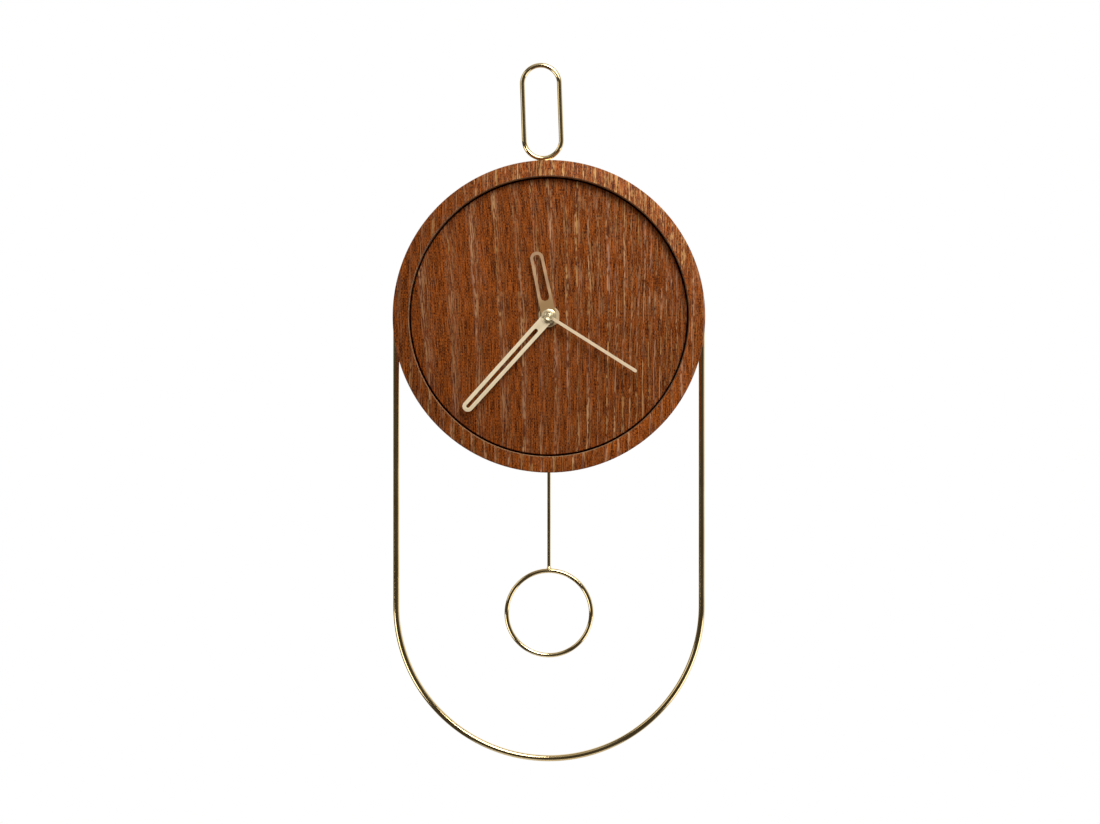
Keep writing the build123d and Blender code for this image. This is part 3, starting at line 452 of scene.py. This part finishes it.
def verts_in(geometry):
    return [v for v in geometry if isinstance(v, bmesh.types.BMVert)]


def raise_faces(shape, faces, by):
    """Extrudes faces along a vector in millimetres."""
    raised = bmesh.ops.extrude_face_region(shape, geom=faces)["geom"]
    bmesh.ops.translate(shape, verts=verts_in(raised), vec=Vector(by) / 1000)


def whole(shape):
    return shape.verts[:] + shape.edges[:] + shape.faces[:]


mouldings = bmesh.new()
bay_middle, bay_tall = (BAY_LOW + BAY_HIGH) / 2, (BAY_HIGH - BAY_LOW) / 2
bay_outline = box_outline(0, bay_middle, BAY_HALF, bay_tall)
lip_outline = box_outline(0, bay_middle, BAY_HALF + LIP_WIDE, bay_tall + LIP_TALL)
bay_edge = edge_loop(mouldings, corners_of(mouldings, bay_outline))
lip_edge = edge_loop(mouldings, corners_of(mouldings, lip_outline))
bmesh.ops.bridge_loops(mouldings, edges=bay_edge + lip_edge)
mouldings.faces.new(corners_of(mouldings, box_outline(-SIGN_X, SIGN_Z, SIGN_ARM, SIGN_HALF)))
arm, half = SIGN_ARM, SIGN_HALF
plus = ((-arm, -half), (-half, -half), (-half, -arm), (half, -arm), (half, -half), (arm, -half),
        (arm, half), (half, half), (half, arm), (-half, arm), (-half, half), (-arm, half))
mouldings.faces.new(corners_of(mouldings, [(SIGN_X + a, SIGN_Z + b) for a, b in plus]))
for aside, up, inner, outer, angle, steps in (
        (KNOB_X, KNOB_Z, ARROW_INNER, ARROW_OUTER, ARROW_SWEEP, ARROW_STEPS),
        (0, MAGNET_Z, MAGNET_INNER, MAGNET_OUTER, tau, ROUND_STEPS)):
    start = corners_of(mouldings, ((aside - outer, up), (aside - inner, up)))
    line = mouldings.edges.new(start)
    bmesh.ops.spin(mouldings, geom=start + [line], cent=(aside / 1000, 0, up / 1000), axis=(0, 1, 0),
                   angle=angle, steps=steps, use_merge=angle == tau)
head_x = KNOB_X - (ARROW_INNER + ARROW_OUTER) / 2
mouldings.faces.new(corners_of(mouldings, ((head_x - HEAD_HALF, KNOB_Z), (head_x + HEAD_HALF, KNOB_Z),
                                           (head_x, KNOB_Z - HEAD_LONG))))
bmesh.ops.remove_doubles(mouldings, verts=mouldings.verts, dist=WELD)
raise_faces(mouldings, list(mouldings.faces), (0, COVER_BACK - MOULDING_BACK, 0))
rides_with(piece_from(mouldings, "cover_mouldings", black_finish, smooth=25), "movement_cover")

SHEET_EASE = 0.00012
HOUSING_SIDE, TONGUE_THICK, TONGUE_MIDDLES = 28.23, 0.8, (14.0, -54.0)
TONGUE_LOW, TONGUE_HIGH, TONGUE_HALF, WINDOW_LOW, WINDOW_HIGH, WINDOW_HALF = 13.9, 21.0, 4.0, 16.6, 19.2, 2.3
WEDGE_LOW, WEDGE_HIGH, WEDGE_OUT, WEDGE_HALF = 17.0, 19.0, 0.9, 2.1
clips = bmesh.new()
for middle in TONGUE_MIDDLES:
    loops = []
    for low, high, half in ((TONGUE_LOW, TONGUE_HIGH, TONGUE_HALF), (WINDOW_LOW, WINDOW_HIGH, WINDOW_HALF)):
        ends = ((low, middle - half), (high, middle - half), (high, middle + half), (low, middle + half))
        loops += edge_loop(clips, [corner(clips, HOUSING_SIDE, out, up) for out, up in ends])
    raise_faces(clips, bmesh.ops.bridge_loops(clips, edges=loops)["faces"], (TONGUE_THICK, 0, 0))
    slope = ((HOUSING_SIDE, WEDGE_LOW), (HOUSING_SIDE + WEDGE_OUT, WEDGE_LOW), (HOUSING_SIDE, WEDGE_HIGH))
    wedge = clips.faces.new([corner(clips, aside, out, middle - WEDGE_HALF) for aside, out in slope])
    raise_faces(clips, [wedge], (0, 0, 2 * WEDGE_HALF))
ease_edges(clips, SHEET_EASE, 1)
bmesh.ops.mirror(clips, geom=whole(clips), axis="X", merge_dist=-1)
rides_with(piece_from(clips, "snap_tongues", black_finish), "movement_cover")

# Hub: a stamped washer and a hexagon nut of brass, which clamp the dial to the movement's threaded bush.
# The nut's corners are turned down almost to its flats.
# Both are barrel-finished, with soft edges and satin faces.
hub_finish = metal("satin_brass", (0.50, 0.36, 0.185, 1), (0.66, 0.51, 0.30, 1), 0.30, (0.9, 0.9, 0.9), 0.35)
remade("dial_washer", "hub_washer", hub_finish, ease=SHEET_EASE)


def edges_in(geometry):
    return [e for e in geometry if isinstance(e, bmesh.types.BMEdge)]


def drawn_on(shape, edges):
    """Extrudes a loop of edges. Gives the corners and the edges of the new loop, which is still in place."""
    run = bmesh.ops.extrude_edge_only(shape, edges=edges)["geom"]
    ring = verts_in(run)
    return ring, [e for e in edges_in(run) if set(e.verts) <= set(ring)]


NUT_FLAT, NUT_CORNER, NUT_BORE, NUT_LOW, NUT_HIGH, NUT_EASE, NUT_POINTS = 7.3, 7.6, 4.02, 35.6, 37.8, 0.5, 96
SIDE_POINTS = NUT_POINTS // 6
nut_outline = []
for point in range(NUT_POINTS):
    from_flat = ((point + SIDE_POINTS // 2) % SIDE_POINTS - SIDE_POINTS // 2) * tau / NUT_POINTS
    reach, bearing = min(NUT_CORNER, NUT_FLAT / cos(from_flat)), point * tau / NUT_POINTS
    nut_outline.append((reach * cos(bearing), reach * sin(bearing)))
nut_shape = bmesh.new()
nut_foot = edge_loop(nut_shape, corners_of(nut_shape, nut_outline, NUT_LOW))
edges = nut_foot
for height, inset, bore in ((NUT_HIGH - NUT_EASE, 0, 0), (NUT_HIGH, NUT_EASE, 0), (NUT_HIGH, 0, NUT_BORE),
                            (NUT_LOW, 0, NUT_BORE)):
    ring, edges = drawn_on(nut_shape, edges)
    for vert in ring:
        out = Vector((vert.co.x, 0, vert.co.z))
        reach = bore / 1000 if bore else out.length - inset / 1000
        vert.co = out.normalized() * reach + Vector((0, -height / 1000, 0))
bmesh.ops.bridge_loops(nut_shape, edges=edges + nut_foot)
stands_for(piece_from(nut_shape, "hub_nut", hub_finish), "dial_nut")

# Hands: stamped from brass sheet with long slots, pressed on turned collets, and matt gilt.
# The hour hand is lowest and lies in the others' shade.
ROOT_SHADE_GILT = (0.312, 0.183, 0.069, 1)


def gilt(name, low, high, sheen, root_shade=0.0):
    """Matt gilding: a fine blasted texture that is only partly metallic, with painted shade that darkens the
    root.
    """
    finish = new_finish(name, Metallic=0.12)
    x, y, z = millimetres(finish)
    blast = noise(x * 4, y * 4, z * 4, 2.0)
    cloud = noise(x / 9, y / 9, z / 9)
    # Painted shade: the root, under the other hands, is darkened by the share given.
    root = step(17, 9, (x * x + z * z) ** 0.5) * root_shade
    colour = blend(step(0.3, 0.7, cloud * 0.7 + blast * 0.3), low, high)
    surface(finish, blend(root, colour, ROOT_SHADE_GILT), blast * 0.12 + sheen, blast, 0.00003)
    return finish


hand_finish = gilt("matt_gilt", (0.765, 0.618, 0.404, 1), (0.85, 0.70, 0.468, 1), 0.38)
hour_finish = gilt("hour_gilt_in_shade", (0.36, 0.205, 0.102, 1), (0.525, 0.322, 0.170, 1), 0.42, 0.95)
second_finish = gilt("thin_gilt", (0.705, 0.540, 0.345, 1), (0.79, 0.615, 0.40, 1), 0.38)
remade("hour_hand", "hour_pointer", hour_finish, ease=SHEET_EASE, smooth=20)
remade("second_hand", "second_pointer", second_finish, ease=SHEET_EASE, smooth=20)

# Cap and collet: turned from brass bar, the collet coned round its front and the cap dished inside a rim.
# The tool has left fine rings on them.
# The minute hand is pressed on its collet, and the cap on the seconds arbor.
cap_finish = new_finish("turned_gilt", Metallic=0.65)
x, y, z = millimetres(cap_finish)
from_axis = (x * x + z * z) ** 0.5
tool_rings = from_axis.math("SINE", from_axis * 21)
cap_haze = noise(x, y, z)
cap_colour = blend(cap_haze, (0.68, 0.54, 0.31, 1), (0.82, 0.68, 0.43, 1))
surface(cap_finish, cap_colour, cap_haze * 0.08 + 0.19, tool_rings, 0.00001)

COLLET_CLEAR = 0.0054
COLLET_FOOT, COLLET_TOP, COLLET_BORE, COLLET_OUTER = 41.45, 42.0, 3.0, 5.2
COLLET_CONE = ((COLLET_OUTER, 41.5), (5.12, 41.57), (3.95, COLLET_TOP))
CAP_BORE, CAP_OUTER, CAP_FOOT, CAP_FACE, CAP_MIDDLE, CAP_WELD = 0.77, 3.4, 42.9, 44.62, 44.60, 1e-7
CAP_RIM = ((CAP_OUTER, 44.45), (3.34, 44.68), (3.2, 44.84), (3.0, 44.9), (2.78, 44.84), (2.6, 44.68))
GROOVE_OUTER, GROOVE_PITCH, GROOVE_DEPTH, GROOVE_POINTS, GROOVES = 2.5, 0.22, 0.032, 6, 10


def spun(shape, geometry, axis, steps=ROUND_STEPS):
    """Turns a profile once round an axis through the origin."""
    bmesh.ops.spin(shape, geom=geometry, cent=(0, 0, 0), axis=axis, angle=tau, steps=steps, use_merge=True)


def edge_line(shape, corners):
    return [shape.edges.new(pair) for pair in zip(corners, corners[1:])]


def turned(profile):
    """A shape turned about the hands' axis, from radii and heights over the wall in millimetres."""
    shape = bmesh.new()
    corners = [corner(shape, radius, height, 0) for radius, height in profile]
    spun(shape, corners + edge_line(shape, corners), (0, 1, 0))
    return shape


def beyond_collet(edge):
    return all(Vector((v.co.x, v.co.z)).length > COLLET_CLEAR for v in edge.verts)


minute_shape = eased_copy("minute_hand", SHEET_EASE, beyond_collet)
foot_cut = bmesh.ops.bisect_plane(minute_shape, geom=whole(minute_shape), plane_no=(0, -1, 0),
                                  plane_co=(0, -COLLET_FOOT / 1000, 0), clear_outer=True)["geom_cut"]
bmesh.ops.bridge_loops(minute_shape, edges=edges_in(foot_cut))
stands_for(piece_from(minute_shape, "minute_pointer", hand_finish, smooth=20), "minute_hand")
collet_shape = turned(((COLLET_BORE, COLLET_FOOT), (COLLET_OUTER, COLLET_FOOT), *COLLET_CONE,
                       (COLLET_BORE, COLLET_TOP), (COLLET_BORE, COLLET_FOOT)))
rides_with(piece_from(collet_shape, "minute_collet", cap_finish, smooth=20), "minute_hand")

grooves = []
for point in range(GROOVES * GROOVE_POINTS + 1):
    rise = GROOVE_DEPTH / 2 * cos(tau * point / GROOVE_POINTS)
    grooves.append((GROOVE_OUTER - GROOVE_PITCH * point / GROOVE_POINTS, CAP_FACE + rise))
cap_shape = turned(((CAP_BORE, CAP_FOOT), (CAP_OUTER, CAP_FOOT), *CAP_RIM, *grooves, (0, CAP_MIDDLE)))
bmesh.ops.remove_doubles(cap_shape, verts=cap_shape.verts, dist=CAP_WELD)
bmesh.ops.holes_fill(cap_shape, edges=[e for e in cap_shape.edges if e.is_boundary])
stands_for(piece_from(cap_shape, "cap_button", cap_finish, smooth=40), "second_cap")

# Wire frame: one length of brass wire drawn to 4.4 mm, polished and lacquered, bent to a long ring.
# It lies against the wall, and its ends meet in a brazed butt behind the case.
wire_finish = new_finish("polished_brass", Metallic=1.0)
x, y, z = millimetres(wire_finish)
drawn = noise(x / 3, y / 3, z / 14, 2.0)
haze = noise(x / 30, y / 30, z / 30, 2.0)
wire_colour = blend(step(0.3, 0.7, haze), (0.70, 0.52, 0.25, 1), (0.80, 0.63, 0.35, 1))
surface(wire_finish, wire_colour, drawn * 0.02 + haze * 0.06 + 0.08)

WIRE_SIDES, BEND_STEPS = 32, 96
FRAME_HALF, FRAME_DROP, FRAME_WIRE, FRAME_TOP = 0.1091, 0.207, 0.0044, 0.0015


def bent_wire(half, drop, wire):
    """A closed ring of wire: half a turn over the origin, a leg, half a turn below and a leg back up."""
    shape = bmesh.new()
    bmesh.ops.create_circle(shape, segments=WIRE_SIDES, radius=wire / 2)
    bmesh.ops.translate(shape, verts=shape.verts, vec=(-half, 0, 0))
    ring = list(shape.verts) + list(shape.edges)
    for centre, leg in ((0, -drop), (-drop, drop)):
        bend = bmesh.ops.spin(shape, geom=ring, cent=(0, 0, centre), axis=(0, 1, 0), angle=pi,
                              steps=BEND_STEPS)
        end, end_edges = drawn_on(shape, edges_in(bend["geom_last"]))
        bmesh.ops.translate(shape, verts=end, vec=(0, 0, leg))
        ring = end + end_edges
    return shape


wire_shape = bent_wire(FRAME_HALF, FRAME_DROP, FRAME_WIRE)
bmesh.ops.translate(wire_shape, verts=wire_shape.verts, vec=(0, -FRAME_WIRE / 2, FRAME_TOP))
stands_for(piece_from(wire_shape, "wire_frame", wire_finish), "frame_wire")

# Hanging loop: a thinner wire of the same brass, bent to a short ring and brazed on the crown of the frame.
# It leans a little to the left, as the brazed joint has left it. A bead of braze fills the corner under it.
LOOP_HALF, LOOP_DROP, LOOP_WIRE, LOOP_CROWN, LOOP_LEAN = 0.01325, 0.040, 0.0035, 0.1657, 2.0
BEAD_SIZE, BEAD_RISE, BEAD_FINENESS = (0.0046, 0.0013, 0.0011), 0.0020, 4
leaning = Matrix.Translation((0, 0, FRAME_TOP)) @ Matrix.Rotation(radians(-LOOP_LEAN), 4, "Y")
loop_shape = bent_wire(LOOP_HALF, LOOP_DROP, LOOP_WIRE)
bead_shape = bmesh.new()
bmesh.ops.create_icosphere(bead_shape, subdivisions=BEAD_FINENESS, radius=1)
bmesh.ops.scale(bead_shape, verts=bead_shape.verts, vec=BEAD_SIZE)
for shape, up in ((loop_shape, LOOP_CROWN), (bead_shape, FRAME_HALF + BEAD_RISE)):
    bmesh.ops.translate(shape, verts=shape.verts, vec=(0, -FRAME_WIRE / 2, up))
    bmesh.ops.transform(shape, matrix=leaning, verts=shape.verts)
stands_for(piece_from(loop_shape, "loop", wire_finish), "hanging_loop")
rides_with(piece_from(bead_shape, "braze_bead", wire_finish), "hanging_loop")

# Tabs and screws: plates of brass strip brazed inside the frame's bend and sunk in the case's back.
# Each takes a countersunk wood screw of plated steel with a cross recess.
# Every screw has come to a stop at a turn of its own.
tab_finish = metal("brass_strip", (0.58, 0.41, 0.17, 1), (0.74, 0.55, 0.26, 1), 0.24, (2.0, 0.2, 0.2))
remade("frame_tabs", "frame_plates", tab_finish)

TAB_BEARINGS, SCREW_TURN, SCREW_SIDES = (20, 65, 115, 160), 37, 36
SCREW_CIRCLE, SCREW_SINK, SCREW_HEAD, SCREW_SHANK, HEAD_DEPTH = 0.1009, 0.0006, 0.0028, 0.0015, 0.0013
SCREW_LENGTH, SCREW_POINT = 0.015, 0.0025
CROSS_ARM, CROSS_HALF, CROSS_DEPTH, CROSS_TAPER = 0.0016, 0.00036, 0.0009, 0.7


def edges_at(verts):
    """The edges that meet at the given corners, each once."""
    return list(dict.fromkeys(e for v in verts for e in v.link_edges))


screws_shape = bmesh.new()
corners = []
for quarter in range(4):
    turn = Matrix.Rotation(quarter * -pi / 2, 3, "Y")
    for across, along in ((CROSS_HALF, CROSS_ARM), (-CROSS_HALF, CROSS_ARM), (-CROSS_HALF, CROSS_HALF)):
        corners.append(screws_shape.verts.new(turn @ Vector((across, 0, along))))
cross = edge_loop(screws_shape, corners)
facing = Matrix.Rotation(pi / 2, 4, "X")
head = bmesh.ops.create_circle(screws_shape, segments=SCREW_SIDES, radius=SCREW_HEAD, matrix=facing)["verts"]
edges = edges_at(head)
bmesh.ops.triangle_fill(screws_shape, edges=cross + edges, normal=(0, 1, 0), use_beauty=True)
pit, pit_edges = drawn_on(screws_shape, cross)
bmesh.ops.scale(screws_shape, verts=pit, vec=(CROSS_TAPER, 1, CROSS_TAPER))
bmesh.ops.translate(screws_shape, verts=pit, vec=(0, -CROSS_DEPTH, 0))
bmesh.ops.contextual_create(screws_shape, geom=pit_edges)
for radius, depth in ((SCREW_SHANK, HEAD_DEPTH), (SCREW_SHANK, SCREW_LENGTH - SCREW_POINT),
                      (0, SCREW_LENGTH)):
    ring, edges = drawn_on(screws_shape, edges)
    for vert in ring:
        vert.co = Vector((vert.co.x, 0, vert.co.z)).normalized() * radius + Vector((0, -depth, 0))
first_screw = whole(screws_shape)
for bearing in TAB_BEARINGS:
    copied = bmesh.ops.duplicate(screws_shape, geom=first_screw)["geom"]
    turn = Matrix.Rotation(radians(SCREW_TURN * bearing), 4, "Y")
    out = Matrix.Rotation(radians(90 - bearing), 4, "Y") @ Vector((0, 0, SCREW_CIRCLE))
    place = Matrix.Translation(out + Vector((0, -SCREW_SINK, FRAME_TOP)))
    bmesh.ops.transform(screws_shape, matrix=place @ turn, verts=verts_in(copied))
bmesh.ops.delete(screws_shape, geom=verts_in(first_screw), context="VERTS")
stands_for(piece_from(screws_shape, "tab_screw_set", steel_finish), "tab_screws")

# Pendulum arm: a lever moulded in dark grey plastic, swinging on a steel pin behind the movement.
# It carries a magnet that the drive coil pushes, and a peg for the rod's eye.
MOULDED_EASE = 0.0003
grey_finish = moulded("grey_moulding", (0.040, 0.041, 0.043, 1), (0.062, 0.063, 0.066, 1), 0.38)
remade("pendulum_arm", "swing_arm", grey_finish, ease=MOULDED_EASE, smooth=25)
dress(magnet_finish, "arm_magnet")
dress(steel_finish, "arm_pivot", "arm_retainer")

# Pendulum: a ring of brass wire hard-soldered to a thin rod, whose bent eye hangs on the arm's peg.
# Both are polished as the frame is, and the solder makes a small cone at the rod's foot.
ROD_HEIGHT, ROD_RADIUS, EYE_MID, EYE_Z = 0.0085, 0.0012, 0.0031, -0.079494
RING_Z, RING_MID, RING_WIRE, RING_STEPS = -0.210444, 0.0301, 0.0032, 160
ROD_SUNK, SOLDER_TALL, SOLDER_SPREAD = 0.0002, 0.0016, 1.45


def wire_ring(middle, wire, up, steps=ROUND_STEPS):
    """A full ring of round wire, square to the hands' axis and as far out as the rod."""
    shape = bmesh.new()
    section = bmesh.ops.create_circle(shape, segments=WIRE_SIDES, radius=wire / 2)["verts"]
    bmesh.ops.translate(shape, verts=section, vec=(middle, 0, 0))
    spun(shape, section + edges_at(section), (0, 1, 0), steps)
    bmesh.ops.translate(shape, verts=shape.verts, vec=(0, -ROD_HEIGHT, up))
    return shape


ring_shape = wire_ring(RING_MID, RING_WIRE, RING_Z, RING_STEPS)
stands_for(piece_from(ring_shape, "bob_ring", wire_finish), "pendulum_ring")

rod_shape = wire_ring(EYE_MID, 2 * ROD_RADIUS, EYE_Z)
rod_top, rod_low = EYE_Z - EYE_MID, RING_Z + RING_MID + RING_WIRE / 2 - ROD_SUNK
for high, low_radius in ((rod_top, ROD_RADIUS), (rod_low + SOLDER_TALL, ROD_RADIUS * SOLDER_SPREAD)):
    middle = Matrix.Translation((0, -ROD_HEIGHT, (high + rod_low) / 2))
    bmesh.ops.create_cone(rod_shape, cap_ends=True, segments=WIRE_SIDES, radius1=low_radius,
                          radius2=ROD_RADIUS, depth=high - rod_low, matrix=middle)
stands_for(piece_from(rod_shape, "bob_rod", wire_finish), "pendulum_rod")

# Setting knob: a fluted thumb wheel moulded in dark grey plastic and pressed on the reverse wheel's arbor.
# It sets the hands from behind.
remade("setting_knob", "thumb_wheel", grey_finish, ease=MOULDED_EASE, smooth=25)

# Battery: a dry cell with a plain two-tone sleeve shrunk over a steel can, its ends crimped.
# It lies across the bay and lifts out backwards.
CELL_HEIGHT, CELL_Z, CELL_RADIUS, CELL_HALF = 0.0211, -0.020544, 0.0071, 0.02525
NUB_RADIUS, NUB = 0.0027, 0.001
DISC, DENT_IN, DENT_OUT, CRIMP, DENT = 0.0048, 0.0052, 0.0062, 0.0066, 0.0003
TOP_CRIMP, TOP_DENT, SLEEVE_EASE, SLEEVE_DROP, SLEEVE_TURN = 0.0064, 0.0060, 0.0002, 0.0001, 0.0004
sleeve_finish = new_finish("printed_sleeve", Metallic=0.35)
x, y, z = millimetres(sleeve_finish)
film = noise(x / 4, y / 4, z / 4)
collar = step(10.0, 10.1, x)
sleeve_colour = blend(film, (0.030, 0.040, 0.050, 1), (0.045, 0.056, 0.068, 1))
sleeve_colour = blend(collar, sleeve_colour, (0.52, 0.50, 0.46, 1))
surface(sleeve_finish, sleeve_colour, film * 0.1 + 0.24)
low, high = -CELL_HALF, CELL_HALF - NUB
cell_profile = ((0, low), (DISC, low), (DENT_IN, low + DENT), (DENT_OUT, low + DENT), (CRIMP, low),
                (CELL_RADIUS - SLEEVE_EASE, low + SLEEVE_DROP), (CELL_RADIUS, low + SLEEVE_TURN),
                (CELL_RADIUS, high - SLEEVE_TURN), (CELL_RADIUS - SLEEVE_EASE, high - SLEEVE_DROP),
                (TOP_CRIMP, high), (TOP_DENT, high - DENT), (NUB_RADIUS + DENT, high - DENT),
                (NUB_RADIUS, high), (NUB_RADIUS, CELL_HALF - SLEEVE_EASE),
                (NUB_RADIUS - SLEEVE_EASE, CELL_HALF), (0, CELL_HALF))
cell_shape = bmesh.new()
corners = [cell_shape.verts.new((length, radius, 0)) for radius, length in cell_profile]
spun(cell_shape, corners + edge_line(cell_shape, corners), (1, 0, 0))
bmesh.ops.translate(cell_shape, verts=cell_shape.verts, vec=(0, -CELL_HEIGHT, CELL_Z))
cell = piece_from(cell_shape, "dry_cell", sleeve_finish, steel_finish, smooth=25)
stands_for(cell, "battery")
SLEEVE, CAN = range(2)
for face in cell.data.polygons:
    from_middle = Vector((face.center.y + CELL_HEIGHT, face.center.z - CELL_Z)).length
    face.material_index = CAN if from_middle < CRIMP else SLEEVE

# Studio: a white background, with a room that is light behind the clock and dark behind the camera.
# The key light stands in front at the upper right, with weaker lights low on both sides and two panels.
# The camera stands level, 2.4 m in front of the clock, with a long lens.
FLOOR_RADIUS, FLOOR_Z, FLOOR_SIDES, FLOOR_GLOW = 0.7, -1.5, 96, 0.28
floor_finish = new_finish("pale_floor", Emission_Strength=FLOOR_GLOW)
x, y, z = millimetres(floor_finish)
floor_mottle = noise(x / 60, y / 60, z / 60)
floor_colour = blend(floor_mottle, (0.86, 0.86, 0.86, 1), (0.90, 0.90, 0.90, 1))
surface(floor_finish, floor_colour, floor_mottle * 0.1 + 0.75)
floor_seen = x.node("LightPath", {}, {}, "Is Camera Ray")
floor_shader = floor_finish.node_tree.nodes["Principled BSDF"]
floor_finish.node_tree.links.new(floor_seen.socket, floor_shader.inputs["Emission Color"])
floor_shape = bmesh.new()
bmesh.ops.create_circle(floor_shape, segments=FLOOR_SIDES, radius=FLOOR_RADIUS, cap_ends=True)
bmesh.ops.translate(floor_shape, verts=floor_shape.verts, vec=(0, 0, FLOOR_Z))
piece_from(floor_shape, "floor", floor_finish)

WHITE = (1, 1, 1, 1)
scene = bpy.context.scene
world = bpy.data.worlds.new("studio")
world.use_nodes = True
scene.world = world
way = Signal(world.node_tree).node("TexCoord", {}, {}, "Generated")
aside, towards, upwards = way.axes()
towards = towards * 0.5 + aside * 0.25 + upwards * 0.14 + 0.5
stops = [(0.0, (0.060, 0.054, 0.045, 1)), (0.52, (0.075, 0.070, 0.060, 1)),
         (0.66, (0.35, 0.34, 0.32, 1)), (0.80, WHITE)]
room = way.node("ValToRGB", {"stops": stops}, {0: towards})
seen = way.node("LightPath", {}, {}, "Is Camera Ray")
backdrop = blend(seen, room, WHITE)
world.node_tree.links.new(backdrop.socket, world.node_tree.nodes["Background"].inputs["Color"])


def lamp(name, place, aim, size, power):
    """A square soft box at a place, aimed at a point."""
    light = bpy.data.lights.new(name, "AREA")
    light.size = size
    light.energy = power
    stand = bpy.data.objects.new(name, light)
    stand.location = place
    stand.rotation_euler = (Vector(aim) - Vector(place)).to_track_quat("-Z", "Y").to_euler()
    scene.collection.objects.link(stand)


lamp("key_light", (0.50, -1.25, 0.95), (0, 0, 0.02), 0.86, 26)
lamp("side_light", (-1.64, -0.85, -0.86), (0, 0, -0.05), 1.0, 11)
lamp("low_light", (1.34, -0.38, -0.82), (0, 0, -0.05), 0.9, 6)
lamp("left_panel", (-1.25, -0.50, 0.62), (0, 0, 0), 1.1, 4.0)
lamp("top_panel", (0, -1.0, 1.5), (0, 0, -0.1), 1.6, 3.6)

lens = bpy.data.cameras.new("lens")
lens.sensor_width = 36
lens.lens = 111.78
camera = bpy.data.objects.new("camera", lens)
camera.location = (0.00075, -2.442, -0.0673)
camera.rotation_euler = (pi / 2, 0, 0)
scene.collection.objects.link(camera)
scene.camera = camera
scene.view_settings.view_transform = "Standard"
